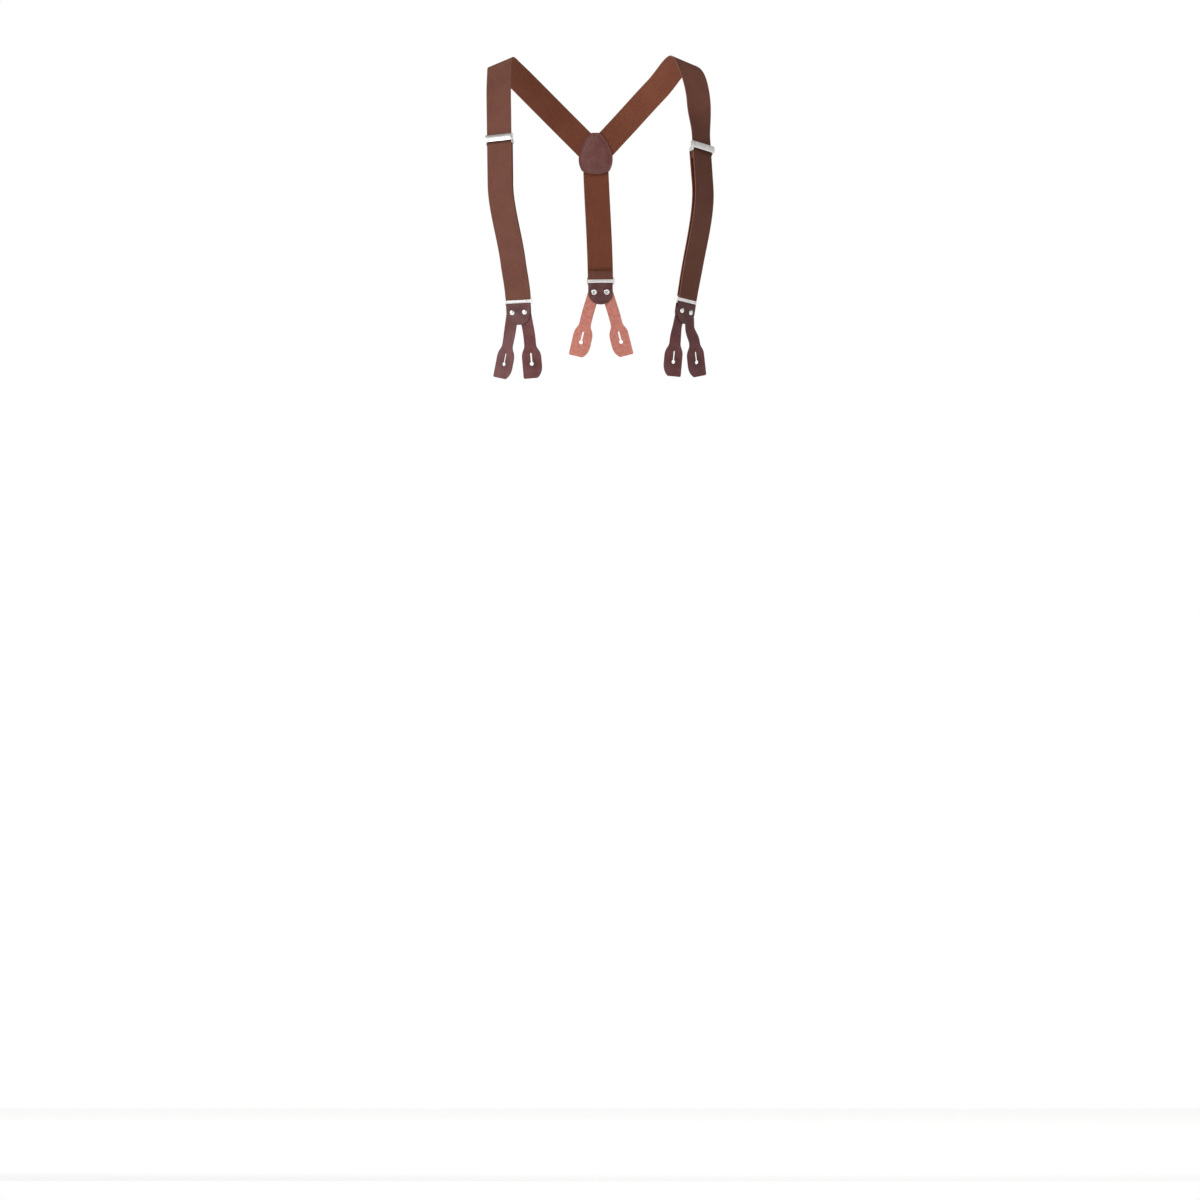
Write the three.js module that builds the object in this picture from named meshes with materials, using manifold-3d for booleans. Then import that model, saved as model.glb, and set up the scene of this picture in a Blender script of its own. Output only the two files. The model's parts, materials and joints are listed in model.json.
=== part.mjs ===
// Button-on suspenders with a Y back, as they hang on the wearer.
// Millimetres, +Z up, -Y to the wearer's front. The origin is midway between
// the shoulders, at the height of the strap crests.
import * as THREE from 'three';
import { mergeVertices } from 'three/addons/utils/BufferGeometryUtils.js';
import Module from 'manifold-3d';

const wasm = await Module();
wasm.setup();

// ---- driving dimensions ---------------------------------------------------
const GAP = 0.3;                                   // clearance between pieces
const WEBBING = { width: 35, thickness: 1.4 };
const LEATHER = { keeper: 1.6, leg: 2, patch: 1.8 };
const LOOP = {                                     // three-bar metal end loop
  width: 39.4, corner: 3, plate: 1.7, outerBar: 1.55, slot: 2.6, slotWidth: 36, middleBar: 3,
  barInset: 0.7,                                   // from a fold's axis to the bar's slot edge
};
const FOLD = { lap: 35, tail: 12.5, hem: 9.5 };    // webbing doubled at the loop, tail at the adjuster, hem
const KEEPER = { width: 34, length: 30.2 };        // folded leather flap
const RIVET = {
  spacing: 17.5, belowFlapTop: 12.8, shank: 1.5, cap: 3.5, capHeight: 1.6,
  roll: 4, rollHeight: 1.1, bore: 1.2, boreDepth: 3,
};
const LEG = {                                      // one buttonhole leg, measured down from its rivet
  shank: 16.4, above: 6.6, bendStart: 20, flareStart: 45, headTop: 63, headSide: 75, length: 92,
  straightSide: 12.8, roundSide: 14, straightFoot: 10.8, roundFoot: 6.5, corner: 2.6,
  buttonhole: 72, hole: 2.7, slit: 1.1, slitLength: 15,
};
const ADJUSTER = {                                 // hinged cam adjuster, heights measured along the strap
  inner: 36, cheek: 0.9, top: 7, bottom: -7.4, back: -6.1, knuckle: 1.5,
  bridge: 1.2, bar: { along: -5.6, out: -4.9, height: 1.8, thickness: 1.4 },
  pin: { along: 4.4, out: 3.2, radius: 0.6 },
  lever: { half: 20, top: 5.2, bottom: -4.6, face: 5.6, plate: 0.9, ear: 0.8 },
  barrel: 1.5, teeth: 9, toothBase: 1.1, toothReach: 2.1,
};
const PATCH = { top: 5.3, widest: 23.6, foot: 18.9, height: 58, x: -6 };

const halfWeb = WEBBING.thickness / 2;
const foldAxis = -LEATHER.leg / 2 - GAP - halfWeb; // mid-plane of the loop and the legs
const foldRadius = -foldAxis;                      // from the fold's axis to the webbing's mid-line
const adjusterFold = 1.25 + halfWeb;               // the same at the adjuster's rear bar
const lowerBar = -(2 * LOOP.barInset + 2 * LOOP.slot + LOOP.middleBar);
const keeperInner = LEATHER.leg / 2 + GAP;
const keeperTop = lowerBar + keeperInner + LEATHER.keeper;

// ---- materials --------------------------------------------------------------
const paint = (color, roughness, metalness) => (
  new THREE.MeshStandardMaterial({ color, roughness, metalness })
);
const webbing = paint(0x6f4636, 0.8, 0);
const grainLeather = paint(0x63403d, 0.55, 0);
const legLeather = paint(0x6b4143, 0.5, 0);
const nickel = paint(0xd0d0d2, 0.22, 1);

// ---- small tools --------------------------------------------------------------
const vec = (x, y, z) => new THREE.Vector3(x, y, z);

const toSolid = (geometry) => {
  const bare = geometry.clone();
  bare.deleteAttribute('normal');
  bare.deleteAttribute('uv');
  const merged = mergeVertices(bare, 1e-4);
  return new wasm.Manifold(new wasm.Mesh({
    numProp: 3,
    vertProperties: new Float32Array(merged.attributes.position.array),
    triVerts: new Uint32Array(merged.index.array),
  }));
};

const toGeometry = (solid) => {
  const mesh = solid.getMesh();
  const geometry = new THREE.BufferGeometry();
  geometry.setAttribute('position', new THREE.BufferAttribute(new Float32Array(mesh.vertProperties), 3));
  geometry.setIndex(new THREE.BufferAttribute(new Uint32Array(mesh.triVerts), 1));
  geometry.computeVertexNormals();
  return geometry;
};

const addPiece = (parent, name, geometry, material) => {
  const mesh = new THREE.Mesh(geometry, material);
  mesh.name = name;
  parent.add(mesh);
};

// A flat outline, drawn across and along the strap, given a thickness outwards.
const plate = (shape, from, to, curveSegments = 8) => {
  const geometry = new THREE.ExtrudeGeometry(shape, {
    depth: to - from, bevelEnabled: false, curveSegments,
  });
  return geometry.translate(0, 0, from);
};

// An outline drawn along and out of the strap, extruded across it.
const crosswise = (shape, from, to, curveSegments = 6) => {
  const geometry = plate(shape, from, to, curveSegments);
  return geometry.applyMatrix4(new THREE.Matrix4().set(0, 0, 1, 0, 1, 0, 0, 0, 0, 1, 0, 0, 0, 0, 0, 1));
};

const block = (x, y, z) => {
  const box = new THREE.BoxGeometry(x[1] - x[0], y[1] - y[0], z[1] - z[0]);
  return box.translate((x[0] + x[1]) / 2, (y[0] + y[1]) / 2, (z[0] + z[1]) / 2);
};

// A round bar across the strap.
const crossBar = (radius, half, along, out, sides = 16) => {
  const bar = new THREE.CylinderGeometry(radius, radius, 2 * half, sides);
  return bar.rotateZ(Math.PI / 2).translate(0, along, out);
};

// ---- how a strap runs ---------------------------------------------------------
// Stations run upwards from the end loop. Each gives a place, the direction in
// which the strap runs there, and the direction of its width.
class StrapRoute {
  constructor(stations) {
    this.spans = [];
    this.length = 0;
    const [first, ...rest] = stations.map(([place, along, across]) => ({
      place: vec(...place), along: vec(...along).normalize(), across: vec(...across).normalize(),
    }));
    let from = first;
    for (const to of rest) {
      const reach = from.place.distanceTo(to.place) / 3;
      const curve = new THREE.CubicBezierCurve3(
        from.place,
        from.place.clone().addScaledVector(from.along, reach),
        to.place.clone().addScaledVector(to.along, -reach),
        to.place,
      );
      const length = curve.getLength();
      this.spans.push({ curve, length, start: this.length, from, to });
      this.length += length;
      from = to;
    }
  }

  frame(distance) {
    const span = this.spans.find((s) => distance <= s.start + s.length) ?? this.spans.at(-1);
    const share = THREE.MathUtils.clamp((distance - span.start) / span.length, 0, 1);
    const along = span.curve.getTangentAt(share);
    const across = span.from.across.clone();
    across.lerp(span.to.across, THREE.MathUtils.smoothstep(share, 0, 1));
    across.divideScalar(across.clone().cross(along).length());
    const out = across.clone().cross(along).normalize();
    const place = span.curve.getPointAt(share);
    place.addScaledVector(along, distance - span.start - share * span.length);
    return { place, along, across, out };
  }

  // Bends a geometry drawn in strap coordinates (across, along, out).
  bend(geometry) {
    const position = geometry.attributes.position;
    for (let i = 0; i < position.count; i += 1) {
      const { place, across, out } = this.frame(position.getY(i));
      place.addScaledVector(across, position.getX(i)).addScaledVector(out, position.getZ(i));
      position.setXYZ(i, ...place);
    }
    geometry.computeVertexNormals();
    return geometry;
  }

  // A group whose axes are across, along and out of the strap at a distance.
  groupAt(distance) {
    const { place, along, out } = this.frame(distance);
    const group = new THREE.Group();
    const across = along.clone().cross(out);
    group.applyMatrix4(new THREE.Matrix4().makeBasis(across, along, out).setPosition(place));
    return group;
  }
}

// ---- webbing ------------------------------------------------------------------
// A line of webbing is the middle of its thickness, as points along and out of a route.
const straightLine = (from, to, out = () => 0, step = 8.5) => {
  const count = Math.max(1, Math.ceil(Math.abs(to - from) / step));
  return Array.from({ length: count + 1 }, (_, i) => {
    const along = THREE.MathUtils.lerp(from, to, i / count);
    return new THREE.Vector2(along, out(along));
  });
};

// The points between the two ends of a half turn round a bar.
const halfTurn = (along, out, radius, from, to, count = 6) => {
  const arc = new THREE.EllipseCurve(along, out, radius, radius, from, to, to < from);
  return arc.getPoints(count).slice(1, -1);
};

const webbingOn = (route, line) => {
  const rows = line.length - 1;
  const strip = new THREE.BoxGeometry(WEBBING.width, rows, WEBBING.thickness, 1, rows, 1);
  const position = strip.attributes.position;
  for (let i = 0; i < position.count; i += 1) {
    const row = Math.round(position.getY(i) + rows / 2);
    const ahead = line[Math.min(row + 1, rows)].clone().sub(line[Math.max(row - 1, 0)]).normalize();
    const height = position.getZ(i);
    position.setY(i, line[row].x - height * ahead.y);
    position.setZ(i, line[row].y + height * ahead.x);
  }
  return route.bend(strip);
};

// The turn of webbing that holds the loop's top bar, with both layers above it.
const bightLine = (frontTop, backTop) => [
  ...straightLine(frontTop, 0),
  ...halfTurn(0, foldAxis, foldRadius, Math.PI / 2, 1.5 * Math.PI),
  ...straightLine(0, backTop, () => 2 * foldAxis),
];

// The return layer: from the bight up behind the strap, round the adjuster's
// rear bar, with its end turned down and sewn.
const returnLine = (bottom, adjusterAt) => {
  const { bar } = ADJUSTER;
  const turn = adjusterAt + bar.along + 0.1;
  const leanBack = (along) => THREE.MathUtils.lerp(
    2 * foldAxis,
    bar.out - adjusterFold,
    THREE.MathUtils.smoothstep(along, bottom, turn),
  );
  return [
    ...straightLine(bottom, turn, leanBack),
    ...halfTurn(turn, bar.out, adjusterFold, -Math.PI / 2, Math.PI / 2),
    ...straightLine(turn, turn - FOLD.tail, () => bar.out + adjusterFold),
  ];
};

// ---- metal end loop -------------------------------------------------------------
const roundedBox = (path, width, top, bottom, radius) => {
  const half = width / 2;
  path.moveTo(half - radius, top);
  path.absarc(-half + radius, top - radius, radius, Math.PI / 2, Math.PI, false);
  path.absarc(-half + radius, bottom + radius, radius, Math.PI, 1.5 * Math.PI, false);
  path.absarc(half - radius, bottom + radius, radius, 1.5 * Math.PI, 2 * Math.PI, false);
  path.absarc(half - radius, top - radius, radius, 0, Math.PI / 2, false);
  return path;
};

const loopGeometry = () => {
  const { width, corner, outerBar, barInset, slot, slotWidth, middleBar } = LOOP;
  const upperSlot = -barInset;
  const lowerSlot = upperSlot - slot - middleBar;
  const top = upperSlot + outerBar;
  const bottom = lowerSlot - slot - outerBar;
  const shape = roundedBox(new THREE.Shape(), width, top, bottom, corner);
  for (const edge of [upperSlot, lowerSlot]) {
    shape.holes.push(roundedBox(new THREE.Path(), slotWidth, edge, edge - slot, slot * 0.3));
  }
  return plate(shape, foldAxis - LOOP.plate / 2, foldAxis + LOOP.plate / 2, 3);
};

// ---- leather keeper, legs and rivets ----------------------------------------------
const rivetAlong = keeperTop - RIVET.belowFlapTop;
const hole = RIVET.shank + GAP;

const upright = (geometry, x, y) => geometry.rotateX(Math.PI / 2).translate(x, y, foldAxis);

const rivetHoles = () => [-1, 1].map((side) => {
  const drill = new THREE.CylinderGeometry(hole, hole, 20, 16);
  return toSolid(upright(drill, (side * RIVET.spacing) / 2, rivetAlong));
});

const keeperGeometry = () => {
  const outer = keeperInner + LEATHER.keeper;
  const bottom = keeperTop - KEEPER.length;
  const fold = new THREE.Shape();
  fold.moveTo(bottom, foldAxis + outer);
  fold.lineTo(bottom, foldAxis + keeperInner);
  fold.lineTo(lowerBar, foldAxis + keeperInner);
  fold.absarc(lowerBar, foldAxis, keeperInner, Math.PI / 2, -Math.PI / 2, true);
  fold.lineTo(bottom, foldAxis - keeperInner);
  fold.lineTo(bottom, foldAxis - outer);
  fold.lineTo(lowerBar, foldAxis - outer);
  fold.absarc(lowerBar, foldAxis, outer, -Math.PI / 2, Math.PI / 2, false);
  const half = KEEPER.width / 2;
  const outline = new THREE.Shape();
  outline.moveTo(half, keeperTop + 1);
  outline.lineTo(-half, keeperTop + 1);
  outline.lineTo(-half, bottom + half);
  outline.absarc(0, bottom + half, half, Math.PI, 2 * Math.PI, false);
  let leather = toSolid(crosswise(fold, -half - 1, half + 1, 6));
  leather = leather.intersect(toSolid(plate(outline, foldAxis - 9, foldAxis + 9, 10)));
  for (const drill of rivetHoles()) {
    leather = leather.subtract(drill);
  }
  return toGeometry(leather);
};

// A leg is flat at its rivet and flat at its head. The strip between them turns
// about its length by the twist and bends sideways by the sway. It can also
// swing out to the side by the lean and come back. The head is straight on one
// side and round on the side towards the wearer's middle.
const legGeometry = (twist, sway, lean, middle) => {
  const shank = LEG.shank / 2;
  const half = LEATHER.leg / 2;
  const { bendStart, flareStart, headTop, headSide, length, straightSide, roundSide } = LEG;
  const root = new THREE.Shape();
  root.moveTo(shank, 0);
  root.absellipse(0, 0, shank, LEG.above, 0, Math.PI, false);
  root.lineTo(-shank, -bendStart);
  root.lineTo(shank, -bendStart);
  const pivot = new THREE.Path();
  pivot.absarc(0, 0, hole, 0, 2 * Math.PI, true);
  root.holes.push(pivot);

  const foot = new THREE.Shape();
  const easing = flareStart + 8;
  foot.moveTo(-middle * shank, -flareStart);
  foot.bezierCurveTo(
    -middle * shank, -easing, -middle * straightSide, -easing, -middle * straightSide, -headTop,
  );
  foot.lineTo(-middle * straightSide, -length + LEG.corner);
  foot.quadraticCurveTo(-middle * straightSide, -length, -middle * LEG.straightFoot, -length);
  foot.lineTo(middle * LEG.roundFoot, -length);
  foot.quadraticCurveTo(middle * roundSide, -length + 6, middle * roundSide, -headSide);
  foot.lineTo(middle * roundSide, -headTop - 2);
  foot.bezierCurveTo(
    middle * roundSide, -easing, middle * shank, -easing, middle * shank, -flareStart,
  );
  const open = Math.asin(LEG.slit / LEG.hole);
  const buttonhole = new THREE.Path();
  buttonhole.absarc(0, -LEG.buttonhole, LEG.hole, Math.PI / 2 + open, 2.5 * Math.PI - open, false);
  buttonhole.lineTo(LEG.slit, -LEG.buttonhole + LEG.slitLength);
  buttonhole.lineTo(-LEG.slit, -LEG.buttonhole + LEG.slitLength);
  foot.holes.push(buttonhole);

  // The middle of the strip, row by row, with its turn and its heading there.
  const steps = 8;
  const row = (flareStart - bendStart) / steps;
  const rows = [{ x: 0, y: -bendStart, turned: 0, heading: 0 }];
  for (let i = 1; i <= steps; i += 1) {
    const last = rows[i - 1];
    const turned = THREE.MathUtils.smoothstep(i / steps, 0, 1);
    const heading = sway * turned + lean * Math.sin((Math.PI * i) / steps);
    const middleHeading = (heading + last.heading) / 2;
    rows.push({
      x: last.x + row * Math.sin(middleHeading),
      y: last.y - row * Math.cos(middleHeading),
      turned,
      heading,
    });
  }
  const rowMatrix = ({ x, y, turned, heading }) => (
    new THREE.Matrix4().makeTranslation(x, y, 0)
      .multiply(new THREE.Matrix4().makeRotationZ(heading))
      .multiply(new THREE.Matrix4().makeRotationY(twist * turned))
  );
  const lap = 0.05;
  const strip = new THREE.BoxGeometry(LEG.shank, steps * row + 2 * lap, LEATHER.leg, 1, steps, 1);
  const position = strip.attributes.position;
  const point = new THREE.Vector3();
  for (let i = 0; i < position.count; i += 1) {
    point.fromBufferAttribute(position, i);
    const nearest = THREE.MathUtils.clamp(Math.round(steps / 2 - point.y / row), 0, steps);
    point.y += (nearest - steps / 2) * row;
    position.setXYZ(i, ...point.applyMatrix4(rowMatrix(rows[nearest])));
  }
  const head = plate(foot, -half, half, 6).translate(0, flareStart, 0).applyMatrix4(rowMatrix(rows[steps]));
  return toGeometry(toSolid(plate(root, -half, half, 6)).add(toSolid(strip)).add(toSolid(head)));
};

const rivetGeometry = () => {
  const flap = keeperInner + LEATHER.keeper;
  const front = flap + GAP;
  const back = -flap - GAP;
  const rear = back - RIVET.rollHeight;
  const profile = new THREE.Shape();
  profile.moveTo(0, rear + RIVET.boreDepth);
  profile.lineTo(RIVET.bore, rear + RIVET.boreDepth);
  profile.lineTo(RIVET.bore, rear + 0.3);
  profile.lineTo(RIVET.bore + 0.5, rear);
  profile.lineTo(RIVET.roll - 0.6, rear + 0.15);
  profile.lineTo(RIVET.roll, back - 0.2);
  profile.lineTo(RIVET.roll - 0.2, back);
  profile.lineTo(RIVET.shank, back);
  profile.lineTo(RIVET.shank, front);
  profile.lineTo(RIVET.cap, front);
  profile.quadraticCurveTo(RIVET.cap * 0.8, front + RIVET.capHeight * 0.95, 0, front + RIVET.capHeight);
  const points = profile.getPoints(4);
  return new THREE.LatheGeometry(points, 12).rotateX(Math.PI / 2).translate(0, 0, foldAxis);
};

// ---- cam adjuster -----------------------------------------------------------------
const adjusterFrame = () => {
  const { inner, cheek, top, bottom, back, knuckle, bridge, bar, pin } = ADJUSTER;
  const half = inner / 2;
  const outer = half + cheek;
  const bridgeFront = -halfWeb - GAP;
  const side = new THREE.Shape();
  side.moveTo(bottom, back);
  side.lineTo(bar.along + bar.height, back);
  side.lineTo(0, bridgeFront - bridge);
  side.lineTo(top, bridgeFront - bridge);
  side.lineTo(top, bridgeFront);
  side.absarc(pin.along, pin.out, knuckle, -Math.PI / 6, (5 * Math.PI) / 6, false);
  side.lineTo(bottom + 1, halfWeb + 1.2);
  side.lineTo(bottom, halfWeb);
  let frame = toSolid(crosswise(side, half, outer));
  frame = frame.add(toSolid(crosswise(side, -outer, -half)));
  frame = frame.add(toSolid(block([-outer, outer], [0, top], [bridgeFront - bridge, bridgeFront])));
  frame = frame.add(toSolid(block(
    [-outer, outer],
    [bar.along - bar.height / 2, bar.along + bar.height / 2],
    [bar.out - bar.thickness / 2, bar.out + bar.thickness / 2],
  )));
  frame = frame.subtract(toSolid(crossBar(pin.radius + GAP, outer + 1, pin.along, pin.out)));
  return toGeometry(frame);
};

const adjusterLever = () => {
  const { pin, lever, inner, barrel, teeth, toothBase, toothReach } = ADJUSTER;
  const halfBarrel = inner / 2 - GAP;
  const underside = lever.face - lever.plate;
  const cover = roundedBox(new THREE.Shape(), 2 * lever.half, lever.top, lever.bottom, 1.4);
  const ear = new THREE.Shape();
  ear.moveTo(lever.top - 0.3, lever.face - 0.2);
  ear.lineTo(lever.bottom + 0.8, lever.face - 0.2);
  ear.lineTo(lever.bottom + 1.2, lever.face - 1.5);
  ear.lineTo(pin.along - 1.8, pin.out - 1.4);
  ear.lineTo(pin.along, pin.out - 1.9);
  ear.lineTo(lever.top - 0.3, pin.out - 1.4);
  let solid = toSolid(plate(cover, underside, lever.face, 3));
  for (const [from, to] of [[lever.half - lever.ear, lever.half], [-lever.half, -lever.half + lever.ear]]) {
    solid = solid.add(toSolid(crosswise(ear, from, to)));
  }
  solid = solid.add(toSolid(crossBar(barrel, halfBarrel, pin.along, pin.out)));
  solid = solid.add(toSolid(block(
    [-halfBarrel, halfBarrel],
    [pin.along - barrel * 0.8, lever.top],
    [pin.out + pin.radius + GAP, underside + lever.plate / 2],
  )));
  const spacing = (2 * halfBarrel - 3) / teeth;
  const toothHeight = toothReach - toothBase;
  for (let i = 0; i < teeth; i += 1) {
    const tooth = new THREE.ConeGeometry(1.2, toothHeight, 4).rotateX(-Math.PI / 2);
    tooth.translate((i - (teeth - 1) / 2) * spacing, pin.along, pin.out - toothBase - toothHeight / 2);
    solid = solid.add(toSolid(tooth));
  }
  solid = solid.subtract(toSolid(crossBar(pin.radius + GAP, lever.half + 1, pin.along, pin.out)));
  return toGeometry(solid);
};

const leverPin = () => {
  const { pin, lever } = ADJUSTER;
  return crossBar(pin.radius, lever.half + 0.4, pin.along, pin.out, 12);
};

// ---- back patch ----------------------------------------------------------------------
const patchGeometry = (near, far) => {
  const { top, widest, foot, height } = PATCH;
  const shape = new THREE.Shape();
  shape.moveTo(top, 0);
  shape.lineTo(-top, 0);
  shape.bezierCurveTo(-top - 8, -6, -widest, -24, -widest, -36);
  shape.quadraticCurveTo(-widest, -46, -foot, -height + 5);
  shape.quadraticCurveTo(0, -height - 3.4, foot, -height + 5);
  shape.quadraticCurveTo(widest, -46, widest, -36);
  shape.bezierCurveTo(widest, -24, top + 8, -6, top, 0);
  return plate(shape, near, far, 8);
};

// ---- assembly ------------------------------------------------------------------------
const suspenders = new THREE.Group();

// One end fitting: the metal loop, the keeper, its two rivets and its two legs.
// side is which rivet a leg hangs on, and middle is the way to the wearer's
// middle. spread, twist, sway and lean are in degrees.
const addFitting = (route, place, legs) => {
  const fitting = route.groupAt(0);
  suspenders.add(fitting);
  addPiece(fitting, `end_loop_${place}`, loopGeometry(), nickel);
  addPiece(fitting, `keeper_${place}`, keeperGeometry(), grainLeather);
  for (const { name, side, middle, spread, twist, sway, lean = 0 } of legs) {
    const pivot = new THREE.Group();
    pivot.position.set((side * RIVET.spacing) / 2, rivetAlong, 0);
    fitting.add(pivot);
    addPiece(pivot, `rivet_${name}`, rivetGeometry(), nickel);
    const swung = new THREE.Group();
    swung.position.z = foldAxis;
    swung.rotation.z = THREE.MathUtils.degToRad(side * spread);
    pivot.add(swung);
    const bends = [twist, sway, lean].map(THREE.MathUtils.degToRad);
    const leg = legGeometry(...bends, middle);
    addPiece(swung, `leg_${name}`, leg, legLeather);
  }
};

const addFrontStrap = (side, stations, adjusterHeight, legs) => {
  const route = new StrapRoute(stations);
  let adjusterAt = 0;
  while (route.frame(adjusterAt).place.z < adjusterHeight) {
    adjusterAt += 0.5;
  }
  const front = straightLine(FOLD.lap + GAP, route.length);
  addPiece(suspenders, `strap_${side}`, webbingOn(route, front), webbing);
  const bight = bightLine(FOLD.lap, FOLD.lap);
  addPiece(suspenders, `strap_bight_${side}`, webbingOn(route, bight), webbing);
  const back = returnLine(FOLD.lap + GAP, adjusterAt);
  addPiece(suspenders, `strap_return_${side}`, webbingOn(route, back), webbing);
  const adjuster = route.groupAt(adjusterAt);
  suspenders.add(adjuster);
  addPiece(adjuster, `adjuster_frame_${side}`, adjusterFrame(), nickel);
  addPiece(adjuster, `adjuster_lever_${side}`, adjusterLever(), nickel);
  addPiece(adjuster, `lever_pin_${side}`, leverPin(), nickel);
  addFitting(route, side, legs);
};

const chest = 0.4;                                 // forward slope of the straps over the chest
const backPlane = 88;                              // where the rear straps lie between the patch leathers

addFrontStrap('left', [
  [[-113.3, -98, -335], [-0.05, 0, 1], [0.978, -0.208, 0.049]],
  [[-120, -101, -286], [-0.13, 0.02, 1], [0.978, -0.208, 0.01]],
  [[-138, -97, -176], [-0.014, chest, 1], [0.968, -0.235, 0.1]],
  [[-139.6, -51.4, -62], [-0.014, chest, 1], [0.968, -0.235, 0.1]],
  [[-138.8, -10.5, -15.5], [0.03, 0.7, 0.71], [0.92, 0, 0.38]],
  [[-137, 0, -9], [0.36, 0.93, 0.1], [0.92, 0, 0.39]],
  [[-129.5, 12, -13.5], [0.5, 0.72, -0.48], [0.9, 0, 0.42]],
  [[-95, 56, -47.7], [0.64, 0.5, -0.64], [0.75, 0, 0.66]],
  [[-38, backPlane, -104.7], [0.7, 0, -0.7], [0.707, 0, 0.707]],
  [[PATCH.x - GAP / 2, backPlane, -136.6], [0.7, 0, -0.7], [0, 0, 1]],
], -115.5, [
  { name: 'front_left_outer', side: -1, middle: 1, spread: 11, twist: -18, sway: -3 },
  { name: 'front_left_inner', side: 1, middle: 1, spread: 8, twist: 8, sway: -6 },
]);

addFrontStrap('right', [
  [[121.3, -91, -334], [0.15, 0.08, 0.985], [0.69, 0.71, -0.162]],
  [[128.8, -92, -290], [0.18, 0.0, 0.985], [0.74, 0.67, -0.12]],
  [[143.6, -91, -178], [-0.067, chest, 1], [0.72, 0.66, -0.216]],
  [[139.2, -64.6, -112], [-0.067, chest, 1], [0.72, 0.66, -0.216]],
  [[136, -45.4, -64], [-0.067, chest, 1], [0.93, 0.33, -0.07]],
  [[116, 0, -7.5], [-0.37, 0.92, 0.16], [0.92, 0, -0.39]],
  [[78, 56, -45.5], [-0.6, 0.52, -0.62], [0.76, 0, -0.64]],
  [[26, backPlane, -101.7], [-0.681, 0, -0.732], [0.732, 0, -0.681]],
  [[PATCH.x + GAP / 2, backPlane, -136.1], [-0.681, 0, -0.732], [0, 0, -1]],
], -128, [
  { name: 'front_right_inner', side: -1, middle: -1, spread: 4, twist: -22, sway: 9 },
  { name: 'front_right_outer', side: 1, middle: -1, spread: 15, twist: -16, sway: 6, lean: 26 },
]);

// The back strap lies behind the two rear straps, and its end is turned up
// round the loop's bar on the wearer's side.
const backLayer = backPlane + WEBBING.thickness + GAP;
const backRoute = new StrapRoute([
  [[0.5, 90, -305.5], [-0.01, 0, 1], [-1, 0, -0.01]],
  [[PATCH.x + 0.6, backLayer, -165], [-0.04, 0, 1], [-1, 0, 0]],
  [[PATCH.x, backLayer, -122], [0, 0, 1], [-1, 0, 0]],
]);
const backLine = bightLine(backRoute.length, FOLD.hem);
addPiece(suspenders, 'strap_back', webbingOn(backRoute, backLine), webbing);
addFitting(backRoute, 'back', [
  { name: 'back_left', side: 1, middle: -1, spread: 17.5, twist: 0, sway: -4 },
  { name: 'back_right', side: -1, middle: 1, spread: 17.5, twist: 0, sway: 4 },
]);

const patch = new THREE.Group();
patch.position.set(PATCH.x, backPlane, -105);
patch.rotation.x = Math.PI / 2;
suspenders.add(patch);
const innerFace = halfWeb + GAP;
const outerFace = -(backLayer - backPlane) - halfWeb - GAP;
addPiece(patch, 'patch_inner', patchGeometry(innerFace, innerFace + LEATHER.patch), grainLeather);
addPiece(patch, 'patch_outer', patchGeometry(outerFace - LEATHER.patch, outerFace), grainLeather);

export default suspenders;
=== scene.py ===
import bpy
import bmesh
import json
import math
from mathutils import Matrix, Vector


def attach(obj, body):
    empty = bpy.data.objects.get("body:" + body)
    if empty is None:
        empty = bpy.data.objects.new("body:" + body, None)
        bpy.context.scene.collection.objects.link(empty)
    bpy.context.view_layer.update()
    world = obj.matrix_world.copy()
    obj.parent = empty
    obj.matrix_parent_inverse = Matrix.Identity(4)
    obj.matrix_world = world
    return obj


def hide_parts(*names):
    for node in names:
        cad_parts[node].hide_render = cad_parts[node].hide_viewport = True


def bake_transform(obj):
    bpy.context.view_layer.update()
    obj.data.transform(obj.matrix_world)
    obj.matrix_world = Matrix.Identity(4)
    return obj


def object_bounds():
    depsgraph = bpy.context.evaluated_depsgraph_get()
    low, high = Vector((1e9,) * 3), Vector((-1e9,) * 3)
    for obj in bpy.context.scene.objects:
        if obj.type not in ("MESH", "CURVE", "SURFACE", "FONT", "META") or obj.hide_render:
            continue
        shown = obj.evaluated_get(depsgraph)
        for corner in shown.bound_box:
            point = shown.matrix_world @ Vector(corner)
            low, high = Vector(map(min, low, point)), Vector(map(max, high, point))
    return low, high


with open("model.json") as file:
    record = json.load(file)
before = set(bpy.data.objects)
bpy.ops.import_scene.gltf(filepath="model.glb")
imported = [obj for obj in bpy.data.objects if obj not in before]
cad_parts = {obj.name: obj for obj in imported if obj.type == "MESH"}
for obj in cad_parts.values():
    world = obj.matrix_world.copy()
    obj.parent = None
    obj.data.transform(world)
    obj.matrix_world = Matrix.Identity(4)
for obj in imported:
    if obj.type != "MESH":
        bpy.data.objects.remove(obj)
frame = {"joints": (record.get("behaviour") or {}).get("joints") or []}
cad_box = [list(corner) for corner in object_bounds()]
joints = {joint["name"]: joint for joint in frame["joints"]}
MM = 0.001

# ---- studio -----------------------------------------------------------------
# The suspenders hang as if worn, a man's height above a plain pale floor, and
# are looked at level from far in front. One large softbox stands to the left, a
# long one hangs overhead in front and isn't mirrored in the metal, and a weak
# one fills from the right. The walls glow evenly, a little more on the left.
SHOULDER_HEIGHT = 1.5
VIEW_HEIGHT = 1.656
ABOVE_CRESTS = 0.0764
CAMERA_DISTANCE = 60.0
SENSOR = 36.0

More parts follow.
